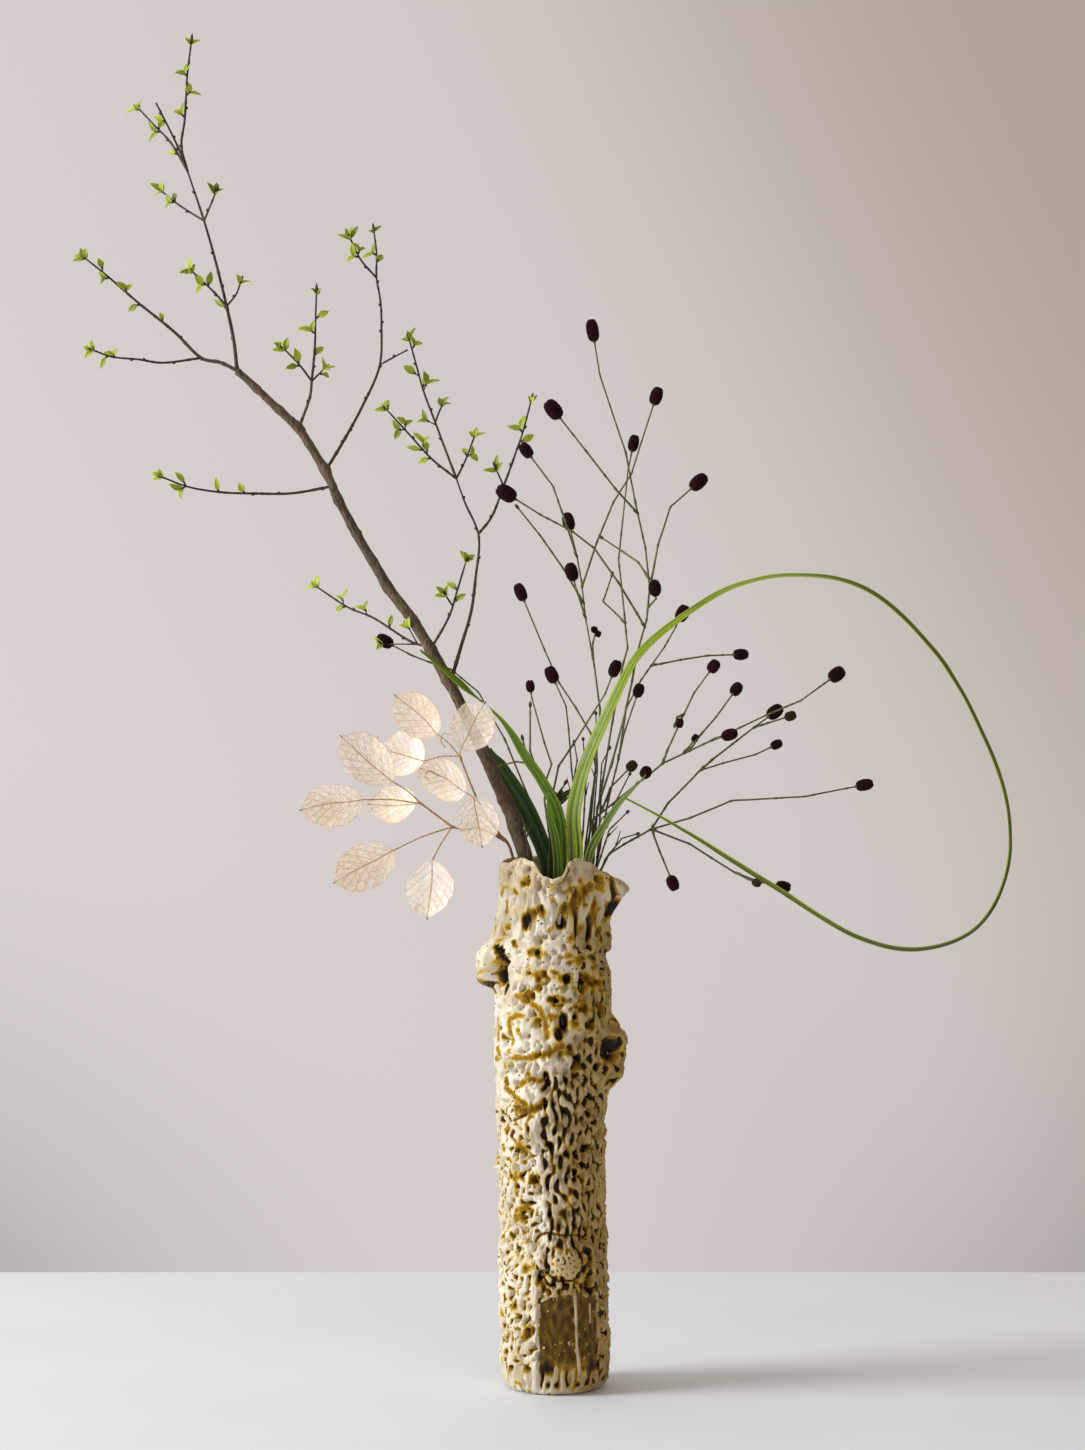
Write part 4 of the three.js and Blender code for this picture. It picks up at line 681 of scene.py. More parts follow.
class Graph:
    """A procedural material, built node by node."""

    def __init__(self, name):
        self.material = bpy.data.materials.new(name)
        self.material.use_nodes = True
        self.tree = self.material.node_tree
        self.shader = self.tree.nodes["Principled BSDF"]
        self.place = self.node("ShaderNodeTexCoord").outputs["Object"]

    def node(self, kind, **settings):
        """A new node with some of its settings."""
        made = self.tree.nodes.new(kind)
        for name, value in settings.items():
            setattr(made, name, value)
        return made

    def plug(self, socket, value):
        """Links a socket to another one, or sets its own value."""
        if isinstance(value, bpy.types.NodeSocket):
            self.tree.links.new(value, socket)
        else:
            socket.default_value = value

    def value(self, name):
        """The values that a mesh carries at its points under a name."""
        return self.node("ShaderNodeAttribute", attribute_name=name).outputs["Fac"]

    def stretched(self, x, y, z):
        """The place on the object, with a scale for each direction."""
        made = self.node("ShaderNodeMapping")
        self.plug(made.inputs["Vector"], self.place)
        made.inputs["Scale"].default_value = (x, y, z)
        return made.outputs["Vector"]

    def combined(self, x, y):
        """Two values as a place on a plane."""
        made = self.node("ShaderNodeCombineXYZ")
        for socket, value in zip(made.inputs, (x, y)):
            self.plug(socket, value)
        return made.outputs["Vector"]

    def noise(self, scale, detail, vector=None):
        """Noise between 0 and 1, with a scale per metre."""
        made = self.node("ShaderNodeTexNoise")
        self.plug(made.inputs["Vector"], self.place if vector is None else vector)
        made.inputs["Scale"].default_value = scale
        made.inputs["Detail"].default_value = detail
        return made.outputs["Fac"]

    def cells(self, scale, feature="F1", vector=None):
        """Random cells, with a scale per metre."""
        made = self.node("ShaderNodeTexVoronoi", feature=feature)
        self.plug(made.inputs["Vector"], self.place if vector is None else vector)
        made.inputs["Scale"].default_value = scale
        return made

    def math(self, operation, a, b=0.0):
        """One step of arithmetic on values or numbers."""
        made = self.node("ShaderNodeMath", operation=operation)
        self.plug(made.inputs[0], a)
        self.plug(made.inputs[1], b)
        return made.outputs[0]

    def step(self, value, low, high, start=0.0, end=1.0):
        """A value moved from the range low..high to start..end, held at both ends."""
        made = self.node("ShaderNodeMapRange")
        self.plug(made.inputs["Value"], value)
        for name, number in (("From Min", low), ("From Max", high), ("To Min", start), ("To Max", end)):
            made.inputs[name].default_value = number
        return made.outputs["Result"]

    def ramp(self, value, *stops):
        """Colours by a value, from (place, colour) stops."""
        made = self.node("ShaderNodeValToRGB")
        self.plug(made.inputs["Fac"], value)
        elements = made.color_ramp.elements
        while len(elements) < len(stops):
            elements.new(0.5)
        for element, (place, colour) in zip(elements, stops):
            element.position = place
            element.color = (*linear(colour), 1)
        return made.outputs["Color"]

    def blend(self, factor, a, b):
        """The colour a, passing into b where the factor is 1."""
        made = self.node("ShaderNodeMix", data_type="RGBA")
        self.plug(made.inputs["Factor"], factor)
        for number, colour in ((6, a), (7, b)):
            if not isinstance(colour, bpy.types.NodeSocket):
                colour = (*linear(colour), 1)
            self.plug(made.inputs[number], colour)
        return made.outputs[2]

    def finish(self, colour, roughness, height, depth, alpha=None, **constants):
        """Joins the colour, roughness and bump (its depth in millimetres) to the shader."""
        self.plug(self.shader.inputs["Base Color"], colour)
        self.plug(self.shader.inputs["Roughness"], roughness)
        bump = self.node("ShaderNodeBump")
        self.plug(bump.inputs["Height"], height)
        bump.inputs["Strength"].default_value = 1.0
        bump.inputs["Distance"].default_value = depth * MM
        self.plug(self.shader.inputs["Normal"], bump.outputs["Normal"])
        if alpha is not None:
            self.plug(self.shader.inputs["Alpha"], alpha)
        for name, number in constants.items():
            self.shader.inputs[name.replace("_", " ")].default_value = number
        return self.material


def linear(colour):
    """A colour given as 0-255 screen values, in the linear values that Blender wants."""
    share = np.asarray(colour, float) / 255
    return tuple(np.where(share <= 0.04045, share / 12.92, ((share + 0.055) / 1.055) ** 2.4))


def glaze_material():
    """Glossy cream glaze that pools amber, olive and near black in the hollows. It turns sandy
    tan in places and on the right side, where that tan is partly painted shade.
    """
    g = Graph("vase_glaze")
    grain = g.noise(900, 4)
    cloud = g.noise(60, 4)
    pool = g.math("ADD", g.value("pool"), g.math("MULTIPLY", g.math("SUBTRACT", grain, 0.5), 0.34))
    cream = g.ramp(cloud, (0.3, (228, 223, 213)), (0.5, (217, 210, 193)), (0.68, (192, 180, 152)))
    # Sandy tan, laid on by a value of the mesh that is partly the glaze's own tan and partly painted
    # shade.
    sandy_and_shade = g.ramp(cloud, (0.35, (180, 157, 112)), (0.65, (140, 113, 68)))
    cream = g.blend(g.value("sandy_and_shade"), cream, sandy_and_shade)
    deepest = (0.86, (18, 8, 2))
    gold = ((0.3, (210, 186, 100)), (0.43, (178, 142, 34)), (0.57, (132, 96, 14)), (0.72, (64, 38, 7)))
    amber = g.ramp(pool, *gold, deepest)
    olive = g.ramp(pool, (0.3, (178, 160, 92)), (0.46, (108, 88, 12)), (0.64, (68, 46, 5)), deepest)
    warm = g.blend(g.value("olive"), amber, olive)
    colour = g.blend(g.step(pool, 0.2, 0.4), cream, warm)
    specks = g.cells(300)
    size = g.step(specks.outputs["Color"], 0.44, 0.8, 0.0, 0.25)
    speck = g.math("LESS_THAN", specks.outputs["Distance"], g.math("MULTIPLY", size, g.value("specks")))
    colour = g.blend(speck, colour, (26, 13, 4))
    roughness = g.step(g.noise(220, 3), 0.3, 0.7, 0.14, 0.34)
    height = g.math("ADD", g.noise(330, 5), g.math("MULTIPLY", speck, -0.5))
    return g.finish(colour, roughness, height, depth=0.34, Specular_IOR_Level=0.16)


def water_material():
    """Clear, slightly green water."""
    g = Graph("water")
    ripple = g.noise(90, 2)
    colour = g.ramp(ripple, (0.3, (228, 236, 232)), (0.7, (206, 220, 212)))
    roughness = g.step(ripple, 0.2, 0.8, 0.02, 0.06)
    return g.finish(colour, roughness, ripple, depth=0.15, alpha=0.35, IOR=1.33)


def wood_material(name, light, dark, grain=(900, 900, 120), roughness=(0.55, 0.85), depth=0.35):
    """Bark or stem skin with a grain that runs up and down."""
    g = Graph(name)
    streak = g.noise(1.0, 5, g.stretched(*grain))
    cloud = g.noise(70, 3)
    colour = g.ramp(streak, (0.3, dark), (0.52, light), (0.75, tuple(min(255, c + 26) for c in light)))
    lichen = g.blend(g.step(cloud, 0.52, 0.72), colour, tuple(0.82 * c for c in light))
    tinted = g.blend(g.math("MULTIPLY", g.value("age"), 0.85), lichen, dark)
    rough = g.step(cloud, 0.3, 0.7, *roughness)
    return g.finish(tinted, rough, streak, depth=depth)


def leaf_material(name, light, dark, edge, roughness, veins=0.0, stripes=0.0, **constants):
    """A green leaf: veins off the midrib or parallel stripes, by its place across it; the light
    stripes are partly painted highlights.
    """
    g = Graph(name)
    across, run, tone = g.value("across"), g.value("run"), g.value("tone")
    cloud = g.noise(160, 3)
    side = g.math("ABSOLUTE", across)
    mottling = 0.3 if stripes else 0.6
    shade = g.math("ADD", tone, g.math("MULTIPLY", g.math("SUBTRACT", cloud, 0.5), mottling))
    colour = g.ramp(shade, (0.1, dark), (0.8, light))
    colour = g.blend(g.step(side, 0.72, 1.0, 0.0, 0.7), colour, edge)
    height = g.math("MULTIPLY", cloud, 0.4)
    if veins:
        sweep = g.math("SUBTRACT", run, g.math("MULTIPLY", side, 0.16))
        vein = g.math("SINE", g.math("MULTIPLY", sweep, veins))
        vein = g.step(vein, 0.75, 1.0)
        colour = g.blend(g.math("MULTIPLY", vein, 0.35), colour, edge)
        height = g.math("ADD", height, g.math("MULTIPLY", vein, 0.6))
    if stripes:
        lengthwise = g.combined(g.math("MULTIPLY", across, stripes), g.math("MULTIPLY", run, 0.4))
        fine = g.noise(1.0, 3, lengthwise)
        # Light stripes along the blade: partly its own, partly painted highlights along its ribs.
        colour = g.blend(g.step(fine, 0.5, 0.66, 0.0, 0.75), colour, edge)
        colour = g.blend(g.step(fine, 0.48, 0.32, 0.0, 0.6), colour, dark)
        band = g.math("ABSOLUTE", g.math("SUBTRACT", side, 0.42))
        colour = g.blend(g.step(band, 0.24, 0.06, 0.0, 0.5), colour, dark)
        height = g.math("MULTIPLY", fine, 0.5)
    midrib = g.step(side, 0.1, 0.0, 0.0, 0.5)
    colour = g.blend(midrib, colour, edge)
    rough = g.step(cloud, 0.3, 0.7, *roughness)
    return g.finish(colour, rough, height, depth=0.3, **constants)


VEINS = 21.0  # side veins of a skeleton leaf, as waves along it


def skeleton_material():
    """A crisp pale leaf with fine veins and thin see-through skin between them."""
    g = Graph("skeleton_leaf")
    across, run, tone = g.value("across"), g.value("run"), g.value("tone")
    side = g.math("ABSOLUTE", across)
    sweep = g.math("SUBTRACT", run, g.math("MULTIPLY", side, 0.3))
    rib = g.math("ABSOLUTE", g.math("SINE", g.math("MULTIPLY", sweep, VEINS)))
    rib = g.step(rib, 0.17, 0.05)
    place = g.combined(g.math("MULTIPLY", across, 3.6), g.math("MULTIPLY", run, 8.0))
    mesh = g.cells(1.0, "DISTANCE_TO_EDGE", place)
    thread = g.step(mesh.outputs["Distance"], 0.08, 0.03)
    midrib = g.step(side, 0.04, 0.01)
    vein = g.math("MAXIMUM", g.math("MAXIMUM", rib, midrib), g.math("MULTIPLY", thread, 0.6))
    cloud = g.noise(60, 2)
    shade = g.math("ADD", g.math("MULTIPLY", tone, 0.55), g.math("MULTIPLY", cloud, 0.6))
    fresh = ((0.25, (255, 253, 249)), (0.5, (252, 244, 232)))
    colour = g.ramp(shade, *fresh, (0.72, (246, 230, 204)), (0.9, (238, 212, 172)))
    colour = g.blend(g.math("MULTIPLY", vein, 0.8), colour, (204, 168, 112))
    colour = g.blend(g.math("MULTIPLY", midrib, 0.9), colour, (176, 132, 68))
    colour = g.blend(g.step(side, 0.93, 1.0, 0.0, 0.6), colour, (214, 178, 126))
    skin = g.step(g.math("ADD", g.noise(70, 1), g.math("MULTIPLY", tone, 0.25)), 0.35, 0.8, 0.26, 0.54)
    alpha = g.math("MAXIMUM", skin, g.step(vein, 0.1, 0.6, 0.25, 0.85))
    height = g.math("ADD", g.math("MULTIPLY", g.noise(110, 2), 0.6), g.math("MULTIPLY", vein, 0.7))
    # Painted light: the thin skin glows a little of itself, in place of light passing through it.
    painted_glow = {"Emission_Color": (1.0, 0.93, 0.82, 1), "Emission_Strength": 0.13}
    return g.finish(colour, g.step(cloud, 0.3, 0.7, 0.45, 0.7), height, depth=0.2, alpha=alpha, **painted_glow)


def floret_material():
    """Near-black maroon florets, redder at their tips and a little greener when young."""
    g = Graph("burnet_head")
    speck = g.noise(1400, 3)
    cloud = g.noise(120, 2)
    ripe = g.ramp(speck, (0.3, (18, 3, 4)), (0.55, (34, 6, 7)), (0.8, (60, 13, 13)))
    young = g.ramp(speck, (0.3, (58, 52, 24)), (0.7, (108, 98, 48)))
    colour = g.blend(g.value("young"), ripe, young)
    colour = g.blend(g.step(g.value("tip"), 0.6, 1.0, 0.0, 0.25), colour, (74, 20, 18))
    roughness = g.step(cloud, 0.3, 0.7, 0.66, 0.86)
    return g.finish(colour, roughness, speck, depth=0.12, Specular_IOR_Level=0.16)


def plain_material(name, colour, roughness):
    """Almost one colour all over, with a faint cloud."""
    g = Graph(name)
    cloud = g.noise(6, 2)
    tone = g.ramp(cloud, (0.3, tuple(0.985 * c for c in colour)), (0.7, colour))
    return g.finish(tone, roughness, g.noise(300, 2), depth=0.02)


# ---------------------------------------------------------------- vase

RADIUS = 38.5  # for lengths round the wall
FIELD_HEIGHT = 400  # of the wall that a crust's field covers
FIELD_COLUMNS = 400

# Levels at which the crust's fields are cut: the higher, the less of the wall is taken.
LABYRINTH_CUT = 0.12
STREAK_CUT = 0.85
DENT_CUT = 0.66
CLOUD_CUT = 1.35
NO_CUT = 9.0

# Grooves pressed into the wall: points as [angle, height], half width and depth in
# millimetres, and how dark the glaze is that pools in them.
GROOVES = [
    ([[-112, 106], [-108, 111], [-98, 113], [-80, 111], [-62, 111], [-52, 107]], 2.0, 1.3, 0.72),
    ([[-110, 90], [-104, 84], [-98, 78], [-90, 76]], 2.2, 1.6, 0.85),
    ([[-98, 100], [-100, 92], [-96, 84], [-86, 80],
      [-72, 80], [-62, 85], [-59, 94], [-66, 102]], 2.0, 1.4, 0.8),
    ([[-134, 190], [-120, 194]], 1.5, 1.6, 0.85),
    ([[-100, 222], [-101, 219]], 3.6, 2.0, 1.0),
    ([[-100, 214], [-102, 212]], 3.2, 2.0, 1.0),
    ([[-67, 330], [-65, 318], [-61, 306], [-56, 303]], 3.2, 2.4, 1.0),
    ([[-49, 331], [-47, 320], [-50, 309]], 2.7, 2.2, 0.95),
    ([[-57, 298], [-58, 294]], 2.6, 1.6, 0.95),
    ([[-116, 233], [-108, 235], [-98, 236], [-90, 239], [-83, 242]], 6.4, 0.7, 0.58),
    ([[-137, 232], [-126, 233], [-116, 233]], 5.0, 0.7, 0.54),
    ([[-150, 222], [-147, 212], [-139, 207], [-130, 205], [-121, 201]], 4.6, 0.7, 0.56),
    ([[-134, 212], [-126, 215], [-114, 219], [-104, 218]], 4.4, 0.7, 0.56),
    ([[-131, 199], [-119, 196], [-106, 200], [-100, 203]], 6.4, 0.8, 0.6),
    ([[-139, 259], [-139, 250], [-137, 243]], 4.8, 0.6, 0.54),
    ([[-139, 259], [-130, 262], [-124, 262]], 4.2, 0.5, 0.52),
    ([[-130, 275], [-118, 272], [-106, 268], [-100, 258], [-97, 248]], 5.0, 0.7, 0.54),
    ([[-160, 262], [-158, 246], [-157, 232]], 4.0, 0.5, 0.52),
    ([[-152, 340], [-150, 330], [-140, 331]], 4.6, 0.5, 0.5),
    # Under the rolled lip in front: a crease whose dark glaze is partly painted shadow under the lip.
    ([[-97, 354], [-90.6, 352.6], [-83, 354.2], [-77, 359.5], [-75, 364]], 1.3, 1.3, 0.82),
    ([[-158, 309], [-152, 300], [-145, 290], [-144, 282], [-148, 277]], 2.6, 2.2, 0.97),
    ([[-30, 358], [-27, 350], [-23, 343], [-20, 337]], 2.0, 1.8, 0.95),
]

# Pools of amber glaze, as [angle, height, half width, half height], sizes in millimetres.
AMBER = [
    [-135, 348, 5, 3.5], [-122, 353, 6, 3], [-118, 332, 9, 4.5], [-106, 334, 7, 5], [-66, 344, 8, 6],
    [-74, 349, 5, 4], [-80, 336, 6, 5], [-38, 354, 5, 9], [-44, 340, 4, 8], [-111, 306, 9, 5],
    [-107, 290, 9, 5], [-119, 276, 9, 4.5], [-88, 273, 9, 6], [-79, 288, 8, 5], [-150, 296, 6, 8],
    [-134, 150, 6, 5], [-52, 256, 6, 8], [-33, 281, 6, 11], [-126, 128, 7, 4], [-70, 256, 5, 6],
    [-76, 238, 7, 5], [-66, 228, 5, 5], [-172, 284, 9, 6], [-163, 320, 8, 5], [-62, 318, 12, 12],
    [110, 340, 9, 5], [150, 300, 9, 6], [60, 330, 11, 6], [20, 300, 8, 8], [75, 270, 9, 5],
    [-50, 88, 6, 11], [-58, 76, 10, 4], [-104, 78, 7, 5], [-128, 172, 7, 6], [-132, 122, 6, 6],
    [-122, 88, 7, 6], [-140, 60, 7, 5], [-112, 150, 6, 5], [-118, 44, 7, 5], [-55, 351, 9, 6],
    [-45, 330, 6, 10], [-64, 301, 8, 5], [-42, 300, 5, 9], [-36, 264, 5, 11], [-60, 268, 6, 6],
    [-48, 284, 5, 9], [-92, 262, 5, 4], [-70, 338, 6, 5], [-27, 316, 5, 9], [130, 262, 11, 4],
    [168, 240, 8, 5], [35, 348, 8, 4], [95, 300, 8, 6], [-4, 262, 6, 8],
]

# Dark pits in the glaze, in the same form.
PITS = [
    [-121, 327, 4.2, 6.5], [-83, 326, 4.4, 4.8], [-60, 284, 3.4, 7.5], [-81, 258, 3.6, 6.5],
    [-86, 250, 3.2, 5], [-104, 337, 2.2, 2], [-78, 288, 3.4, 4], [-152, 288, 4.5, 7], [-154, 305, 1.6, 5],
    [-23, 237, 6.2, 9.4], [-19, 335, 6, 7], [-108, 306, 2.5, 2.5], [-88, 273, 2, 1.8], [-163, 281, 5, 4],
    [52, 280, 4, 6], [128, 318, 4, 5], [100, 256, 3, 7], [-70, 262, 2.4, 2.2],
]

# The sunk glassy panel near the foot, the boss over it, bumps, and the runs of cream
# glaze that cross the panel, as (points as [angle, height], half width).
WINDOW = {"angle": -73, "wide": 36, "top": 70, "bottom": 16}
BOSS = {"angle": -78, "z": 92, "wide": 12.6, "high": 10}
LUGS = [(-176, 153, 5), (-170, 160, 3)]  # small bumps on the left: angle, height, radius
DRIPS = [
    ([[-68, 73], [-66.5, 52], [-66, 36], [-63, 19]], 1.5),
    ([[-49, 62], [-49, 50]], 1.0),
    ([[-107, 63], [-111, 48], [-110, 30], [-108, 20]], 1.6),
    ([[-104, 66], [-95, 69], [-86, 70]], 1.0),
]


def turn(a, b):
    """The difference of two angles in degrees, between -180 and 180."""
    return (a - b + 180) % 360 - 180


def spot(dx, dz, half_width, half_height):
    """1 in the middle of an oval spot, falling smoothly to 0 at its rim."""
    return 1 - smooth(np.hypot(dx / half_width, dz / half_height), 0, 1)


def arc(a, b):
    """The length round the wall between two angles, in millimetres."""
    return turn(a, b) * math.pi / 180 * RADIUS


def from_line(angle, z, line):
    """The distance of wall points from a line of [angle, height] points."""
    nearest = np.full(angle.shape, 1e3)
    for (a0, z0), (a1, z1) in zip(line, line[1:]):
        dx, dz = arc(a1, a0), z1 - z0
        x, y = arc(angle, a0), z - z0
        t = np.clip((x * dx + y * dz) / (dx * dx + dz * dz), 0, 1)
        nearest = np.minimum(nearest, np.hypot(x - t * dx, y - t * dz))
    return nearest


class Crust:
    """A random pattern round the wall whose ridges keep about one width: a labyrinth
    where it is cut at its middle level, and scattered spots where it is cut high up.
    A stretch above 1 makes its ridges run up and down."""

    def __init__(self, width, stretch, seed, spread=0.3):
        self.pitch = 2 * math.pi * RADIUS / FIELD_COLUMNS
        rows = round(FIELD_HEIGHT / self.pitch)
        grains = np.random.default_rng(seed).standard_normal((rows, FIELD_COLUMNS))
        up = np.fft.fftfreq(rows, self.pitch)[:, None] * stretch
        round_wall = np.fft.fftfreq(FIELD_COLUMNS, self.pitch)[None, :]
        band = np.exp(-(((np.hypot(up, round_wall) * width - 1) / spread) ** 2))
        field = np.fft.ifft2(np.fft.fft2(grains) * band).real
        self.field = field / field.std()

    def __call__(self, angle, z):
        u = (angle % 360) / 360 * FIELD_COLUMNS
        w = z / self.pitch + 4
        column, row = np.floor(u).astype(int), np.floor(w).astype(int)
        rows, columns = self.field.shape
        near = [[self.field[(row + j) % rows, (column + i) % columns] for i in (0, 1)] for j in (0, 1)]
        low, high = (mix(pair[0], pair[1], u - column) for pair in near)
        return mix(low, high, w - row)


def net(angle, z):
    """Height of the vase's encrusted net: tall staggered cells of ridges and hollows."""
    a = np.radians(angle)
    wander = 0.9 * np.sin(z / 37) + 0.5 * np.sin(z / 13 + 1)
    cells = np.cos(9 * a + wander) * np.cos(z / 5.6 + np.sin(4 * a))
    swell = np.cos(5 * a - z / 23) + np.cos(3 * a + z / 31)
    return NET_HEIGHT * cells * mix(1, 0.45, smooth(z, 235, 270)) + 0.5 * swell


def zones(angle, level, broad):
    """How far each place belongs to the labyrinth in front and behind, to the streaks
    above it on the right, and to the dents beside it."""
    edge = smooth(turn(angle, -108) + 16 * broad, -9, 9)
    edge = edge * smooth(turn(angle, 62) + 24 * broad, 12, -12)
    rear = 0.9 * smooth(np.abs(turn(angle, 128) + 26 * broad), 38, 16)
    front_top = 252 - 26 * smooth(turn(angle, -66), 12, -16) + 12 * broad
    labyrinth = np.maximum(edge, rear) * smooth(level, front_top + 8, front_top - 10) * smooth(level, 2, 7)
    streaks = smooth(turn(angle, -62) + 10 * broad, -8, 14) * smooth(turn(angle, 40), 20, -20)
    streaks = streaks * smooth(level, 236, 252) * smooth(level, 350, 318)
    dented = (1 - labyrinth) * smooth(level, 228, 196)
    return labyrinth, streaks, dented


def marked(angle, z, fray, pool, relief):
    """The glaze with the amber pools, the grooves and the dark pits added to it."""
    for amber in AMBER:
        near = spot(arc(angle, amber[0]), z - amber[1], 1.7 * amber[2], 1.7 * amber[3])
        patch = smooth(near + 0.45 * fray, -0.05, 0.95)
        pool = np.maximum(pool, 0.58 * patch + 0.1 * patch * fray)
        relief = relief - 0.5 * patch
    for line, half_width, depth, dark in GROOVES:
        distance = from_line(angle, z, line) + 0.22 * (2 + half_width) * fray
        near = 1 - smooth(distance, 0.1, half_width)
        pool = np.maximum(pool, dark * near)
        relief = relief - depth * near
    for pit in PITS:
        near = spot(arc(angle, pit[0]), z - pit[1], 1.5 * pit[2], 1.5 * pit[3])
        patch = smooth(near + 0.14 * fray, 0.3, 0.7)
        pool = np.maximum(pool, 0.55 * smooth(near + 0.3 * fray, 0.0, 0.3) + 0.45 * patch)
        relief = relief - 2.0 * patch
    return pool, relief


def panel(angle, z, place, broad, fray):
    """How far each place belongs to the sunk panel, to its foot and to its dark corners."""
    side = np.abs(turn(angle, WINDOW["angle"])) + 2.6 * fray + 3 * broad
    top = WINDOW["top"] + 3 * noise(place + 5, 7, 2)
    bottom = WINDOW["bottom"] + 3.4 * np.cos(12 * np.radians(angle)) + 2 * fray
    window = smooth(side, WINDOW["wide"], WINDOW["wide"] - 3) * smooth(z, top + 1.5, top - 1.5)
    window = window * smooth(z, bottom - 1.5, bottom + 1.5)
    low = smooth(z, bottom + 15, bottom + 2)
    corner = smooth(np.abs(side - 27) - 7 * low, 4, -4) * low
    return window, low, corner


def glaze_relief(angle, z):
    """Height of the glaze's crust in millimetres, and the values that its colours need."""
    a = np.radians(angle)
    place = np.stack([RADIUS * np.cos(a), RADIUS * np.sin(a), z], axis=-1)
    drift, sway = 2.4 * noise(place, 12, 2), 2.4 * noise(place + 40, 14, 2)
    broad = noise(place + 90, 42, 2)
    bent, level = angle + 1.4 * drift, z + sway
    worms = Crust(5.6, 2.1, 71)(bent, level)
    dents = Crust(6.6, 1.05, 72, 0.45)(bent, level)
    beads = Crust(3.3, 1.0, 73)(angle, z)
    clouds = Crust(15.0, 0.8, 74, 0.5)(bent, level)

    labyrinth, streaks, dented = zones(angle, level, broad)
    cut = mix(NO_CUT, LABYRINTH_CUT, smooth(labyrinth, 0.05, 0.95))
    cut = np.minimum(cut, mix(NO_CUT, STREAK_CUT, streaks))
    gap = worms - cut
    spots = dents - mix(NO_CUT, DENT_CUT, dented)
    cloud = clouds - mix(NO_CUT, CLOUD_CUT, (1 - labyrinth) * (1 - dented))
    pool = np.clip(0.42 + 0.5 * gap, 0, 1)
    pool = np.maximum(pool, np.clip(0.4 + 0.3 * spots, 0, 0.8))
    pool = np.maximum(pool, np.clip(0.3 + 0.22 * cloud, 0, 0.6))

    crusty = smooth(labyrinth + 0.5 * streaks, 0, 0.8)
    relief = 1.15 * net(angle, z) * (1 - 0.35 * crusty)
    relief = relief + crusty * (0.65 - 1.9 * smooth(gap, -0.7, 0.7) + 0.22 * beads)
    relief = relief + dented * (0.25 - 0.95 * smooth(spots, -0.8, 0.6) + 0.12 * beads - 0.2 * worms)
    relief = relief + (1 - crusty) * (1 - dented) * (0.4 * clouds - 0.5 * smooth(cloud, -0.5, 0.5))
    relief = relief + 0.25 * noise(place, 6, 3)
    relief = relief * mix(1, 0.6, smooth(level, 236, 270))
    relief = relief * mix(1, 0.35, smooth(level, 334, 348))

    fray = noise(place, 3.6, 2)
    pool, relief = marked(angle, z, fray, pool, relief)

    boss = spot(arc(angle, BOSS["angle"]), z - BOSS["z"], 1.15 * BOSS["wide"], 1.15 * BOSS["high"])
    boss = smooth(boss, 0.05, 0.3)
    pool = mix(pool, np.clip(0.2 + 0.34 * beads, 0, 0.75), boss)
    relief = mix(relief, 0.6 - 0.3 * beads, boss)

    lug = sum(spot(arc(angle, middle), z - level, size, size) for middle, level, size in LUGS)
    relief = relief + 3.2 * smooth(lug, 0.1, 0.8)

    window, low, corner = panel(angle, z, place, broad, fray)
    bubbles = smooth(dents * beads, 2.4, 3.2)
    glassy = np.clip(0.57 + 0.05 * worms - 0.08 * low + 0.42 * corner - 0.5 * bubbles, 0, 1)
    pool = mix(pool, glassy, window)
    relief = mix(relief, 0.1 * clouds - 1.0 + 0.4 * bubbles, window)
    for line, half_width in DRIPS:
        near = 1 - smooth(from_line(angle, z, line) + 0.3 * fray, 0.3 * half_width, half_width)
        pool = pool * (1 - near)
        relief = relief + 1.3 * near

    # On the right side the glaze turns darker and sandy: partly its own colour, partly painted shade on
    # the side turned from the key light.
    sunk = smooth(np.abs(turn(angle, -12)), 98, 32) * smooth(level, 372, 300)
    collar = smooth(level, 340, 356)
    sandy_and_shade = np.clip(0.8 * sunk + 0.3 * crusty + 0.25 * broad + 0.55 * collar, 0, 1) * (1 - 0.3 * window)
    specks = np.clip((1 - crusty) * (0.85 + 0.4 * noise(place, 20, 2)), 0, 1) * (1 - window)
    olive = np.clip(0.85 * window * (1 - 0.7 * low) + 0.35 * crusty + 0.4 * noise(place + 11, 25), 0, 1)
    return relief, {"pool": pool, "sandy_and_shade": sandy_and_shade, "specks": specks, "olive": olive}


def wall(angle, z, radius):
    """A point of the wall, moved by the knots that stand out and the pits pressed in."""
    reach, height = radius + 0.0 * z, z + 0.0 * angle
    for middle, level, wide, high, push, drop in KNOTS:
        near = spot(turn(angle, middle), z - level, wide, high)
        strength = np.sin(math.pi / 2 * np.minimum(1, KNOT_FULLNESS * near)) * smooth(z, 14, 34)
        reach = reach + strength * push
        height = height + strength * drop
    return reach, height


def spline_rows(rows, steps):
    """Rows of values with more rows set between them on a Catmull-Rom curve."""
    rows = np.concatenate([2 * rows[:1] - rows[1:2], rows, 2 * rows[-1:] - rows[-2:-1]])
    fine = []
    for i in range(1, len(rows) - 2):
        a, b, c, d = rows[i - 1 : i + 3]
        for t in np.arange(steps) / steps:
            bend = 2 * b + (c - a) * t + (2 * a - 5 * b + 4 * c - d) * t**2
            fine.append(0.5 * (bend + (3 * b - a - 3 * c + d) * t**3))
    return np.array([*fine, rows[-2]])


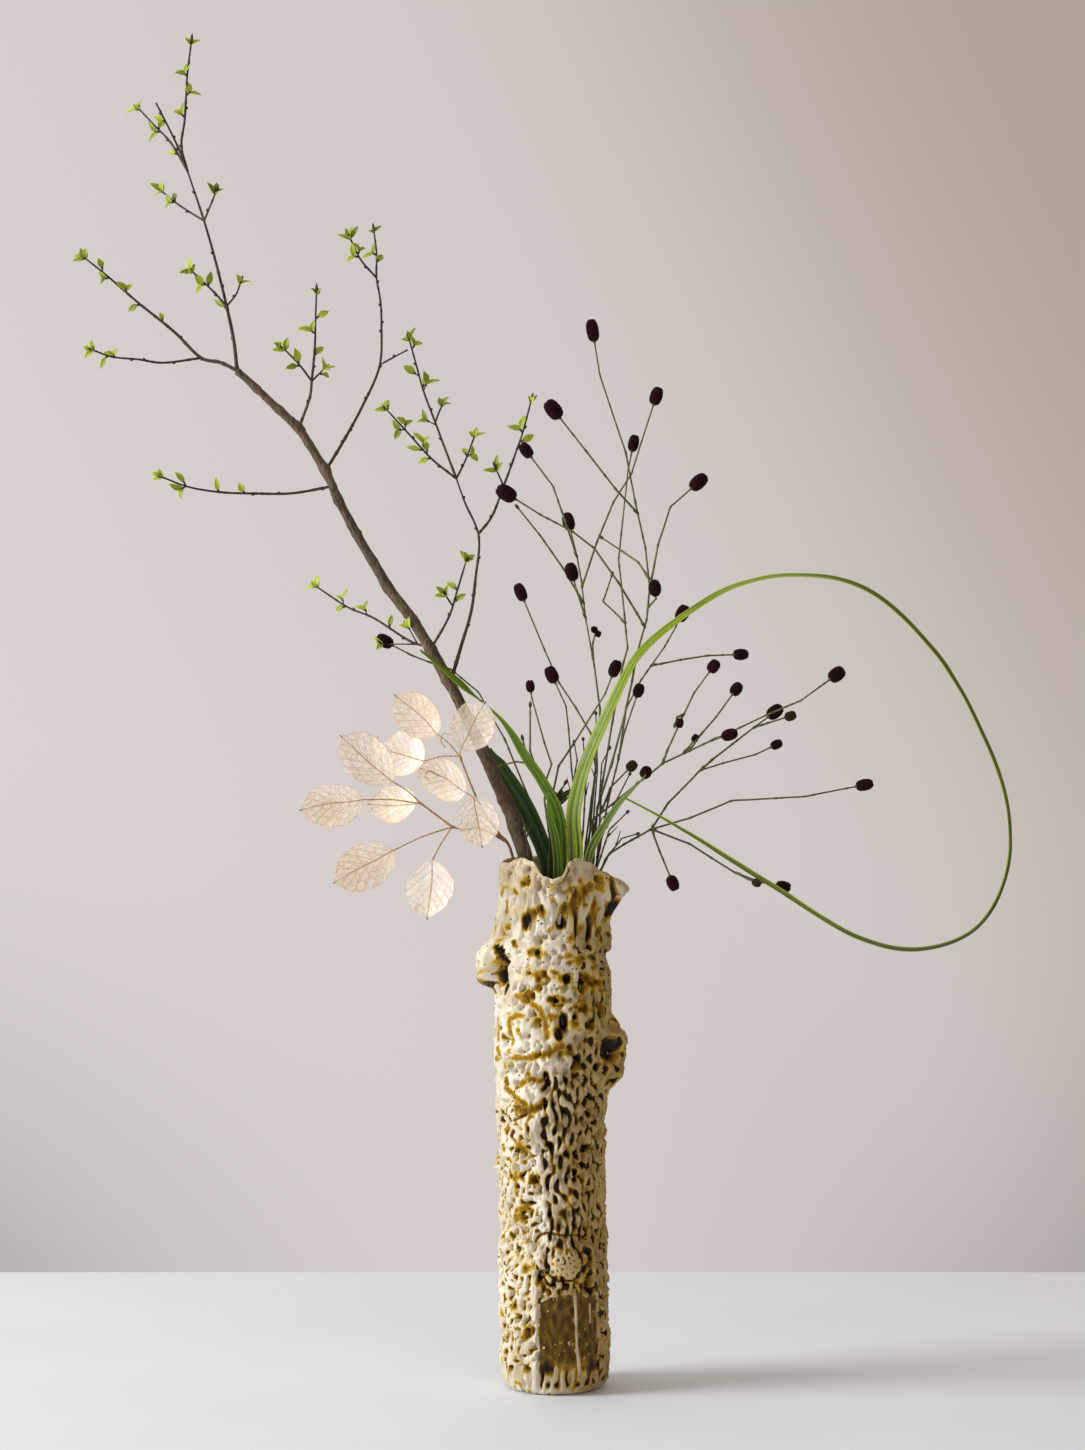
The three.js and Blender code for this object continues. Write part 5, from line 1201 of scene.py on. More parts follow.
def vase():
    """The vase: one skin from the middle of its foot over the rim to the floor inside."""
    turns = np.arange(VASE_COLUMNS) / VASE_COLUMNS * 2 * math.pi
    angles = turn(np.degrees(turns - FRONT_FINENESS * np.sin(turns)), 90)  # closest in front
    flat = np.ones(VASE_COLUMNS)
    right = (1 + np.cos(np.radians(angles))) / 2

    reach, height = [r * flat for r, _ in FOOT_ROWS], [z * flat for _, z in FOOT_ROWS]
    for z in np.linspace(BODY_BOTTOM, BODY_TOP, BODY_ROWS):
        radius = mix(along(LEFT_SIDE, z), along(RIGHT_SIDE, z), right)
        out, up = wall(angles, z, radius)
        reach.append(out)
        height.append(up)

    curl = spot(turn(angles, CURL["angle"]), 0, CURL["wide"], 1)
    beak = spot(turn(angles, BEAK["angle"]), 0, BEAK["wide"], 1)
    rim = [[reach[-6], height[-6]], [reach[-1], height[-1]]]
    for plain, curled, beaked in zip(PLAIN_RIM, CURLED_RIM, BEAK_RIM):
        out, rise = (p + curl * (c - p) + beak * (b - p) for p, c, b in zip(plain, curled, beaked))
        rim.append(wall(angles, along(RIM, angles) + rise, out))
    for z in INNER_LEVELS:
        rim.append(wall(angles, z * flat, along(INNER_WALL, z) * flat))
    fine = spline_rows(np.array(rim), RIM_STEPS)[RIM_STEPS + 1 :]
    reach = np.vstack([reach, fine[:, 0]])
    height = np.vstack([height, fine[:, 1]])

    wall_angles = np.broadcast_to(angles, height.shape)
    relief, values = glaze_relief(wall_angles, height)
    row = np.arange(len(height))
    lip = len(FOOT_ROWS) + BODY_ROWS + LIP_ROW * RIM_STEPS
    thin = smooth(row, lip - 3 * RIM_STEPS, lip)[:, None]
    inside = smooth(row, lip, lip + 2 * RIM_STEPS)[:, None]
    reach = reach + relief * smooth(height, 1.5, 9) * (1 - 0.9 * thin) * (1 - inside)
    # The lip is rolled out along the notch in front.
    rolled = np.exp(-(((row - lip + 1.5) / 3.2) ** 2))[:, None] * spot(turn(angles, -91), 0, 27, 1)
    reach = reach + 1.3 * rolled
    values["pool"] = values["pool"] * (1 - inside) * (1 - 0.6 * thin) * (1 - 0.9 * rolled)
    values["sandy_and_shade"] = np.maximum(values["sandy_and_shade"], 0.45 * inside) * (1 - rolled)
    x, y = (reach * f(np.radians(wall_angles)) for f in (np.cos, np.sin))
    points = np.stack([x, y, height], axis=-1).reshape(-1, 3)
    ends = [(0, 0, 0), (0, 0, FLOOR_THICKNESS)]
    shape = Shape()
    spread = {name: np.append(value.reshape(-1), [0, 0]) for name, value in values.items()}
    shape.add(np.vstack([points, ends]), capped_faces(len(height), VASE_COLUMNS), **spread)
    shape.build("encrusted_vase", [glaze_material()], "vase_glaze", "vase")


# ---------------------------------------------------------------- budding branch

# Places of the materials in a piece: on the branch and the burnets, where the bark or
# stem comes first, and on the pieces that are made of larger leaves.
LEAF, HEAD = 1, 2
SKIN, TWIG = 0, 1

TWIG_BARK = 0.06  # height of the relief of the shoots' bark


def foot(mouth, radius):
    """Where a stem that passes a point of the mouth stands on the vase's floor."""
    return (mouth[0] * FOOT_SPREAD, mouth[1] * FOOT_SPREAD, STEM_FOOT + 0.15 * radius)


def young_leaf(shape, root, forward, face, length, width, tone):
    """A small pointed leaf, folded along its midrib and curved back at its tip."""
    forward, across = unit(forward), unit(np.cross(forward, face))
    up = np.cross(across, forward)
    runs = np.array([0, 0.12, 0.3, 0.5, 0.7, 0.87, 1.0])
    halves = 0.5 * width * np.array([0.18, 0.62, 0.95, 1.0, 0.76, 0.4, 0.05])
    columns = np.array([-1, -0.5, 0, 0.5, 1])
    run, column = runs[:, None], columns[None, :]
    side = column * halves[:, None]
    lift = 0.5 * np.abs(side) - 0.22 * length * run**2 + 0.12 * length * run
    grid = root + run[..., None] * length * forward + side[..., None] * across + lift[..., None] * up
    blade(shape, grid, 0.3, LEAF, across=column + 0 * run, run=run + 0 * column, tone=tone)


def leaf_fan(shape, tip, forward, random, count, size, bud=False):
    """A few young leaves that open from one point, round a closed bud or a brown scale."""
    forward = unit(forward)
    side = unit(np.cross(forward, (0.1, 1.0, 0.1)))
    depth = np.cross(side, forward)
    start = random.uniform(-0.5, 0.5) + (0 if count % 2 == 0 else math.pi / 2)
    for k in range(count):
        angle = start + k * 2 * math.pi / count + random.uniform(-0.3, 0.3)
        outward = side * math.cos(angle) * 1.2 + depth * math.sin(angle) * 0.6
        aim = forward * random.uniform(0.6, 1.3) + outward * random.uniform(0.6, 1.0)
        askew = np.array([random.uniform(-0.5, 0.5), -1.0, random.uniform(-0.2, 0.6)])
        face = forward * 0.5 - outward * 0.5 + askew
        length = LEAF_LENGTH * size * random.uniform(0.72, 1.25)
        width = LEAF_WIDTH * size * random.uniform(0.8, 1.15)
        root = tip + forward * random.uniform(-0.6, 0.8)
        young_leaf(shape, root, aim, face, length, width, random.uniform(0, 1))
    if bud:
        rows = np.linspace(0, 1, 7)
        spindle = tip + rows[:, None] * forward * (8.4 if count < 4 else 5.6) - forward * 0.6
        radii = 1.15 * np.sin(math.pi * np.clip(rows * 0.86 + 0.1, 0, 1)) ** 0.8
        tube(shape, spindle, radii, 8, age=0.75)
    else:
        scale = tip + np.linspace(-1.6, 1.2, 5)[:, None] * forward
        tube(shape, scale, [0.45, 0.8, 0.9, 0.7, 0.3], 6, age=0.9)


def twig(shape, path, start, end, random):
    """A thin round twig with small ring scars and lightly uneven bark."""
    run = np.linspace(0, 1, len(path))
    radii = mix(start, end, run)
    scars = random.uniform(0, 1, len(path)) > 0.86
    radii = radii * (1 + 0.22 * scars)
    relief = TWIG_BARK * noise(path[:, None] + random.uniform(0, 60), 1.6) * np.ones((1, 12))
    tube(shape, path, radii, 12, relief=relief, age=0.6 + 0.3 * run)


def shoot(shape, radius, route, spurs, buds, leaves, grown, random):
    """One shoot of the branch with its spurs of young leaves, its buds and its end."""
    route = [np.array(p, float) for p in route]
    route[0] = nearest_on(grown, route[0])
    grown.append(route)
    path = smooth_path(route, 2.2)
    last = len(path) - 1
    twig(shape, path, 0.36 * radius + 0.3, 0.6, random)
    tangents = frames(path)[0]
    for run, hand, reach, count in spurs:
        where = round(run * last)
        side = unit(np.cross(tangents[where], (0, 1, 0)))
        aim = unit(tangents[where] + side * 0.95 * hand + np.array([0, random.uniform(-0.5, 0.1), 0]))
        spur = path[where] + np.linspace(0, reach, 4)[:, None] * aim
        tube(shape, spur, [0.75, 0.5, 0.45, 0.5], 7, age=0.7)
        leaf_fan(shape, spur[-1], aim, random, count, size=random.uniform(0.85, 1.1))
    for k, run in enumerate(buds):
        where = round(run * last)
        side = unit(np.cross(tangents[where], (0, 1, 0))) * (1 if k % 2 == 0 else -1)
        knob = path[where] + np.linspace(0, 2.2, 4)[:, None] * unit(side + 0.9 * tangents[where])
        tube(shape, knob, [1.0, 1.15, 0.75, 0.3], 7, age=0.95)
    end, forward = path[-1], unit(path[-1] - path[-3])
    if leaves:
        size = 0.74 if leaves < 4 and len(spurs) > 1 else 1.0
        leaf_fan(shape, end, forward, random, leaves, size=size, bud=leaves < 5)


# Swellings of the limb where it bends or bore a shoot: height, swelling, half length.
KNEES = [
    (392, 0.5, 3), (411, 1.0, 2.5), (444, 0.5, 3), (466, 0.4, 2), (495, 1.1, 5), (516, 0.8, 3),
    (537, 0.5, 2), (560, 0.8, 4), (578, 0.5, 2.5), (598, 0.4, 2), (622, 0.7, 3), (643, 1.2, 4),
    (662, 0.4, 2), (674, 0.9, 3), (686, 0.7, 3), (702, 0.5, 2),
]


def round_and_along(sides, radius, lengths):
    """Places for a noise round a tube and, stretched, along it."""
    angles = np.arange(sides) / sides * 2 * math.pi
    ring = np.stack([np.cos(angles), np.sin(angles)], axis=-1) * radius
    rings = np.broadcast_to(ring, (len(lengths), sides, 2))
    steps = np.broadcast_to(lengths[:, None, None], (len(lengths), sides, 1))
    return np.concatenate([rings, steps], axis=-1)


def branch():
    """The bent branch: a stout limb with a leaf-scarred bark, and its budding shoots."""
    random = np.random.default_rng(11)
    shape = Shape()
    path = smooth_path(kinked([foot(BRANCH_MOUTH, 7), BRANCH_MOUTH, *LIMB]), 1.8)
    height = path[:, 2]
    radii = along(LIMB_RADII, height)
    knees = 0.0 * height
    for level, swell, width in KNEES:
        knees += swell * np.exp(-(((height - level) / width) ** 2))
    sides = 28
    coordinates = round_and_along(sides, 4.5, 0.28 * height)
    relief = 0.36 * noise(coordinates, 1.9, 3) + 0.25 * noise(coordinates * (1, 1, 3), 2.6)
    relief += 0.4 * (noise(coordinates * (0.2, 0.2, 5), 1.5) > 0.55)
    age = np.clip(0.25 + 0.5 * noise(coordinates, 5, 2), 0, 1)
    tube(shape, path, radii + knees, sides, relief=relief, blunt=0.15, age=age)
    grown = [path]
    for item in SHOOTS:
        shoot(shape, *item, grown, random)
    bark = wood_material("bark", (98, 80, 58), (16, 9, 5))
    greens = ((172, 188, 54), (104, 126, 24), (198, 208, 92))
    green = leaf_material("young_leaf", *greens, (0.46, 0.64), veins=30.0)
    shape.build("budding_branch", [bark, green], "bark", "branch")


# ---------------------------------------------------------------- skeleton leaves


def skeleton_leaf(shape, root, tip, width, roll, number):
    """A crinkled leaf: fine grid with a raised midrib and veins, and an uneven edge."""
    root, tip = np.array(root, float), np.array(tip, float)
    length, roll = tip - root, math.radians(roll)
    size = np.linalg.norm(length)
    forward = unit(length)
    flat = unit(np.cross(forward, (0, 1, 0)))
    lift = np.cross(flat, forward)
    across, normal = turned(flat, forward, roll), turned(lift, forward, roll)
    run = np.linspace(0, 1, 56)[:, None]
    column = np.linspace(-1, 1, 33)[None, :]
    out = np.abs(column)
    half = 0.5 * width * np.maximum(0.03, 2.5 * run**0.55 * (1 - run) ** 0.8)
    place = np.stack([column * half + 60 * number, run * size + 0 * column, 0 * run * column], axis=-1)
    ragged = 1 + 0.07 * noise(place * (0.02, 1, 1), 2.2, 2) * smooth(out, 0.7, 1)
    hump = np.sin(math.pi * run)
    vein = np.abs(np.sin((run - 0.3 * out) * VEINS)) ** 0.5
    rise = 1.1 * (1 - out) + (3.5 - 3 * out * out) * hump
    crinkle = 1.3 * noise(place, 10, 2) + 0.2 * noise(place + 30, 4, 2) + 0.25 * (1 - vein)
    curl = 2.6 * noise(place * (0.03, 1, 1) + 50, 13) * out**2
    sweep = (run + 0.1 * out * hump)[..., None] * length
    sway = 0.5 * np.sin(run * 5 + number) * hump
    grid = root + sweep + (column * half * ragged + sway)[..., None] * across
    grid = grid + (rise + (crinkle + curl) * smooth(run, 0, 0.12))[..., None] * normal
    tone = 0.32 + 0.32 * math.sin(2.4 * number)
    values = {"across": column + 0 * run, "run": run + 0 * column, "tone": tone + 0.25 * noise(place, 12)}
    blade(shape, grid, 0.22 + 0.12 * smooth(out, 0.1, 0), SKIN, **values)
    middle = resampled(grid[:, 16] + normal * 0.15, 1.6)
    tube(shape, middle, mix(0.42, 0.2, np.linspace(0, 1, len(middle))), 6, TWIG, age=0.2)
    tip = middle[-1] + np.linspace(-0.8, 1.0, 4)[:, None] * forward
    tube(shape, tip, [0.3, 0.55, 0.55, 0.25], 6, TWIG, age=1.0)
    return middle[0]


# Thin curling stalks on the twigs.
TENDRILS = [
    [[-76, -18, 447], [-79, -17, 452], [-77, -17, 457], [-73, -18, 456]],
    [[-119, -20, 446], [-124, -21, 450], [-122, -22, 455]],
    [[-80, -14, 427], [-87, -13, 431], [-90, -14, 427], [-86, -15, 424]],
]


def skeleton_spray():
    """The twigs of the spray, its tendrils and its ten skeleton leaves on their stalks."""
    random = np.random.default_rng(31)
    shape = Shape()
    stem = smooth_path([foot(SPRAY_MOUTH, 1.8), SPRAY_MOUTH, *SPRAY_TWIGS[0]], 2.5)
    tube(shape, stem, mix(1.5, 1.0, np.linspace(0, 1, len(stem))), 12, TWIG, age=1.0)
    for route in SPRAY_TWIGS[1:]:
        path = smooth_path(route, 1.6)
        run = np.linspace(0, 1, len(path))
        radii = mix(0.85, 0.62, run) * (1 + 0.25 * (random.uniform(0, 1, len(path)) > 0.85))
        radii = radii + 0.55 * smooth(run, 0.93, 1)
        start = np.clip((np.array(route[0][0]) + 75) / 40, 0.15, 1)
        tube(shape, path, radii, 10, TWIG, age=mix(start, 0.35, run))
    for route in TENDRILS:
        path = smooth_path(route, 0.9)
        tube(shape, path, np.linspace(0.4, 0.2, len(path)), 7, TWIG, age=0.5)
    for number, (stalk, *leaf) in enumerate(SKELETONS):
        base = skeleton_leaf(shape, *leaf, number)
        stalk = np.array(stalk, float)
        middle = (stalk + base) / 2 + np.array([0, 0, 1.5])
        path = smooth_path([stalk, middle, base], 1.5)
        tube(shape, path, np.linspace(0.5, 0.42, len(path)), 8, TWIG, age=0.25)
    tan = wood_material("spray_twig", (202, 166, 104), (92, 60, 28), roughness=(0.5, 0.75), depth=0.15)
    shape.build("skeleton_leaves", [skeleton_material(), tan], "skeleton_leaf", "skeleton_leaf_spray")


# ---------------------------------------------------------------- strap leaves


def strap_leaf(item):
    """A long keeled leaf that rolls as it goes, finely ribbed along its length."""
    written = np.array(item["route"], float)
    low = np.array([written[0][0] * FOOT_SPREAD, written[0][1] * FOOT_SPREAD, STEM_FOOT])
    curve = smooth_path(written, 1.2)
    curve = curve[: round(item.get("end", 1) * len(curve))]
    lead = np.linspace(low, written[0], 40, endpoint=False)
    path = np.vstack([lead, curve])
    step = np.clip((np.arange(len(path)) - len(lead)) / (len(curve) - 1), 0, 1)
    tangents = unit(np.gradient(path, axis=0))
    depth = unit(np.array([0, 1, 0]) - tangents * tangents[:, 1:2])
    side = unit(np.cross(tangents, depth))
    angle = np.radians(along(item["roll"], step))[:, None]
    across = depth * np.cos(angle) + side * np.sin(angle)
    keel = unit(np.cross(across, tangents))
    half = along(item["width"], step) / 2
    columns = np.linspace(-1, 1, 15)[None, :]
    out = np.abs(columns)
    sink = (1 - out) * KEEL_DEPTH * half[:, None] * KEEL_GAIN
    ribs = 0.05 * np.cos(columns * 11) * smooth(half[:, None], 0.8, 2.5)
    wave = 0.35 * noise(path[:, None] * 1.0 + columns[..., None] * 2, 17) * out
    grid = path[:, None] + across[:, None] * (columns * half[:, None])[..., None]
    grid = grid + keel[:, None] * (sink + ribs + wave)[..., None]
    thickness = mix(1.0, 0.35, out**2) * smooth(half[:, None], 0.2, 1.5) + 0.12
    length = np.arange(len(path)) * 1.2 / 40
    # Painted shade: the blade is darker low down by the mouth and lighter higher up; the noise is the
    # leaf's own tone.
    tone = 0.25 + 0.6 * smooth(path[:, 2], 352, 440) + 0.15 * noise(path, 60, 2)
    # Painted shade along the loop, where it turns away from the light.
    if "shaded_tones" in item:
        tone = tone * along(item["shaded_tones"], step)
    tone = np.clip(tone, 0, 1)[:, None]
    values = {"across": columns + 0 * half[:, None], "run": length[:, None] + 0 * columns}
    values["tone"] = tone + 0 * columns
    shape = Shape()
    blade(shape, grid, thickness, SKIN, **values)
    name = item["name"]
    skin_name = name.replace("strap_leaf", "strap_skin")
    skin = leaf_material(skin_name, *item["colours"], (0.42, 0.6), stripes=5.0, Specular_IOR_Level=0.3)
    shape.build(name.replace("strap_leaf", "strap_blade"), [skin], "strap_leaf", name)


# ---------------------------------------------------------------- great burnet

# Small closed heads on side stalks: middle, direction, length and width.
SMALL_HEADS = {
    "burnet_right_high": [
        ((86, -39, 464), (0.15, 0, 1), 6.6, 4.8),
        ((98, -9, 453.5), (0.6, 0, 1), 5.6, 4.4),
    ],
    "burnet_middle": [
        ((28, 20, 530), (-0.4, 0, 1), 4.6, 3.8),
        ((31, 22, 527), (0.5, 0, 1), 4.4, 3.6),
    ],
}
WHORL_PLACE = (3, 3, 409)  # of the tuft of leaves on the stout stem


def floret(shape, centre, outward, size, young, material):
    """One closed floret of a flower head: a small blunt bud."""
    outward = unit(outward)
    side = unit(np.cross(outward, (0.3, 0.2, 0.93)))
    other = np.cross(outward, side)
    angles = np.arange(6) / 6 * 2 * math.pi
    rings = []
    for radius, rise in ((0.62, -0.5), (0.78, 0.25), (0.42, 0.8)):
        ring = side * np.cos(angles)[:, None] + other * np.sin(angles)[:, None]
        rings.append(centre + size * (radius * ring + rise * outward))
    ends = [centre - 0.6 * size * outward, centre + size * outward]
    tips = [0.0] * 6 + [0.2] * 6 + [0.8] * 6 + [0.0, 1.0]
    shape.add(np.vstack([*rings, ends]), capped_faces(3, 6), material, tip=tips, young=young)


def packed_head(shape, random, centre, direction, length, width, material=0):
    """An egg packed with florets in rising spirals."""
    forward = unit(direction)
    side = unit(np.cross(forward, (0.31, 0.9, 0.2)))
    other = np.cross(forward, side)
    young = 0.3 if length in YOUNG_LENGTHS else 0.0

    def surface(run, angle, swell):
        tilt = math.pi * run
        fullness = np.sin(tilt) ** 0.56 * (1.02 - 0.06 * run)
        radial = side * math.cos(angle) + other * math.sin(angle)
        place = centre - forward * math.cos(tilt) * length / 2 * swell
        place = place + radial * fullness * width / 2 * swell
        normal = radial * math.sin(tilt) / width - forward * math.cos(tilt) / length
        return place, unit(normal)

    angles = np.arange(14) / 14 * 2 * math.pi
    rings = [[surface(run, a, CORE_SIZE)[0] for a in angles] for run in np.linspace(0.04, 0.96, 12)]
    ends = [surface(0, 0, CORE_SIZE)[0], surface(1, 0, CORE_SIZE)[0]]
    shape.add(np.vstack([*rings, ends]), capped_faces(12, 14), material, tip=0.0, young=young)
    size = FLORET_LENGTH * (width / 10) ** 0.35
    area = math.pi * width * length * 0.86
    count = int(area / (1.55 * size**2))
    golden = math.pi * (3 - math.sqrt(5))
    for k in range(count):
        run = math.acos(1 - 2 * (k + 0.5) / count) / math.pi
        centre_point, normal = surface(run, k * golden, FLORET_SEAT)
        lean = normal + 0.35 * forward
        floret(shape, centre_point, lean, size * random.uniform(0.88, 1.1), young, material)


def flower_head(number, centre, direction, length, width, material):
    """One of the larger heads, which is a piece of its own."""
    shape = Shape()
    random = np.random.default_rng(300 + number)
    packed_head(shape, random, centre, direction, length, HEAD_FULLNESS * width)
    shape.build(f"burnet_head_{number:02d}", [material], "burnet_head", f"flower_head_{number:02d}")


# Thin dry stems that stand between the others in the mouth.
DRY_STEMS = [
    [[22, -4, 352], [26, -6, 380], [31, -9, 410], [33, -10, 436], [38, -12, 446]],
    [[16, -2, 352], [20, -4, 390], [22, -3, 425], [20, -2, 452]],
    [[27, 0, 352], [33, -4, 384], [42, -8, 408], [52, -14, 428]],
    [[10, 6, 352], [13, 8, 384], [12, 10, 416], [16, 12, 438], [14, 12, 450]],
    [[24, 6, 352], [27, 4, 392], [30, 2, 432], [29, 1, 470]],
    [[28, -7, 352], [36, -11, 370], [47, -15, 384], [57, -18, 387]],
    [[19, -8, 352], [24, -12, 376], [33, -18, 398], [40, -21, 404]],
    [[25, -10, 352], [31, -14, 368], [38, -20, 390], [50, -24, 402]],
    [[-16, 4, 352], [-19, 3, 376], [-21, 2, 394], [-25, 1, 402]],
    [[12, -4, 352], [14, -6, 380], [11, -8, 398], [14, -10, 412]],
]


def dry_stems(shape, random):
    """The dry stems, each with one side stalk, one small leaf and a bud."""
    for route in DRY_STEMS:
        path = smooth_path(kinked(route), 1.8)
        radii = mix(0.85, 0.45, np.linspace(0, 1, len(path)))
        radii = radii * (1 + 0.4 * (random.uniform(0, 1, len(path)) > 0.93))
        tube(shape, path, radii, 8, age=random.uniform(0.6, 1.0))
        fork = path[round(0.6 * len(path))]
        reach = unit(path[-1] - path[0] + random.uniform(-45, 45, 3))
        side = fork + np.linspace(0, 1, 6)[:, None] * reach * random.uniform(7, 15)
        tube(shape, side, np.linspace(0.5, 0.3, 6), 7, age=random.uniform(0.5, 1.0))
        young_leaf(shape, fork, reach, (0, -1, 0.3), random.uniform(4, 7), 1.5, 0.1)
        bud = path[-1] + np.linspace(-0.6, 2.4, 5)[:, None] * unit(path[-1] - path[-3])
        tube(shape, bud, [0.5, 1.1, 1.3, 1.0, 0.4], 8, age=1.0)


def burnet(name, mouth, radius, stems, first_number, stem_skin, head_skin):
    """A burnet: its thin branching stem with small bracts, and its flower heads."""
    shape = Shape()
    random = np.random.default_rng(first_number)
    number = first_number
    grown = []
    for i, (head, route) in enumerate(stems):
        points = [np.array(p, float) for p in route]
        if i > 0:
            points[0] = nearest_on(grown, points[0])
        grown.append([p.copy() for p in points])
        direction = unit(points[-1] - points[-2])
        centre = points[-1].copy()
        if head:
            points[-1] = points[-1] + direction * (HEAD_SEAT - head[0] / 2)
        full = [foot(mouth, radius), mouth, *points] if i == 0 else points
        path = smooth_path(kinked(full), 2.0)
        start = (radius if i == 0 else 0.62 * radius) * 0.92
        run = np.linspace(0, 1, len(path))
        radii = mix(start, 0.55, run**0.8)
        knots = random.uniform(0, 1, len(path)) > 0.955
        for point in full[1:-1]:
            knots = np.maximum(knots, np.linalg.norm(path - point, axis=1) < 1.2)
        radii = radii * (1 + 0.35 * knots)
        age = np.clip(0.1 + 0.5 * noise(path, 25, 2) + 0.6 * smooth(path[:, 2], 480, 360), 0, 1)
        tube(shape, path, radii, 10, age=age)
        if i > 0:
            bract = unit(path[2] - path[0])
            side = unit(np.cross(bract, (0, 1, 0)))
            young_leaf(shape, path[0], bract + 0.35 * side, side, 4.6, 1.6, 0.3)
            knob = path[0] + np.linspace(-0.9, 1.2, 5)[:, None] * bract
            tube(shape, knob, [0.6, 1.05, 1.15, 0.9, 0.6], 8, age=0.6)
        if head:
            seat = centre - direction * head[0] * 0.5
            cup = seat + np.linspace(-1.4, 0.9, 5)[:, None] * direction
            tube(shape, cup, [0.55, 0.8, 1.2, 1.5, 1.3], 8, age=0.5)
            flower_head(number, centre, direction, head[0], head[1], head_skin)
            number += 1
        else:
            bud = path[-1] + np.linspace(-0.4, 4.4, 6)[:, None] * direction
            tube(shape, bud, [0.5, 1.0, 1.35, 1.25, 0.85, 0.35], 8, age=0.75)
    for centre, direction, length, width in SMALL_HEADS.get(name, []):
        packed_head(shape, random, np.array(centre, float), direction, length, width, HEAD)
    if name == "burnet_thick":
        leaf_whorl(shape, WHORL_PLACE, random)
    if name == "burnet_tall":
        dry_stems(shape, random)
    greens = ((96, 122, 44), (26, 42, 10), (120, 142, 66))
    leaf = leaf_material(name.replace("burnet", "bract"), *greens, (0.5, 0.7), veins=30.0)
    materials = [stem_skin, leaf, head_skin]
    shape.build(name.replace("burnet", "burnet_stem"), materials, "burnet_stem", name)
    return number


def leaf_whorl(shape, centre, random):
    """A small tuft of dark pointed leaves low on the stout burnet stem."""
    for k in range(7):
        angle = k * 2 * math.pi / 7 + 0.4
        aim = np.array([math.cos(angle), 0.6 * math.sin(angle), 0.9])
        length = random.uniform(9, 14)
        young_leaf(shape, np.array(centre, float), aim, (0, -1, 0.5), length, 4.6, random.uniform(0, 0.4))


# ---------------------------------------------------------------- kubari


def kubari():
    """The twig wedged across the mouth, with thin brown bark."""
    wall_radius = float(along(INNER_WALL, KUBARI_LEVEL)) - 1
    reach = math.sqrt(wall_radius**2 - (KUBARI_SETBACK + KUBARI_RADIUS) ** 2) - 0.35
    rises = [(k, KUBARI_LEVEL + 0.6 * math.sin(4 * k)) for k in (-1, -0.35, 0.3, 1)]
    path = smooth_path([(k * reach, -KUBARI_SETBACK, z) for k, z in rises], 1.0)
    radii = np.linspace(KUBARI_RADIUS, KUBARI_RADIUS - 0.3, len(path)) - 0.15
    sides = 18
    place = round_and_along(sides, 2.5, 0.3 * path[:, 0])
    shape = Shape()
    tube(shape, path, radii, sides, relief=0.14 * noise(place, 1.4, 2), blunt=0.02, age=0.3)
    wood = wood_material("kubari_wood", (164, 128, 86), (96, 66, 40), (120, 900, 900))
    shape.build("kubari_twig", [wood], "kubari_wood", "kubari")


# ---------------------------------------------------------------- the scene


def area_light(name, place, size, power, colour):
    """A round soft light that aims at the middle of the arrangement."""
    lamp = bpy.data.lights.new(name, "AREA")
    lamp.shape = "DISK"
    lamp.size = size * MM
    lamp.energy = power
    lamp.color = colour
    holder = bpy.data.objects.new(name, lamp)
    holder.location = [c * MM for c in place]
    away = np.array(place, float) - np.array(LIGHT_TARGET, float)
    pitch = math.acos(away[2] / np.linalg.norm(away))
    holder.rotation_euler = (pitch, 0, math.atan2(away[1], away[0]) + math.pi / 2)
    bpy.context.scene.collection.objects.link(holder)


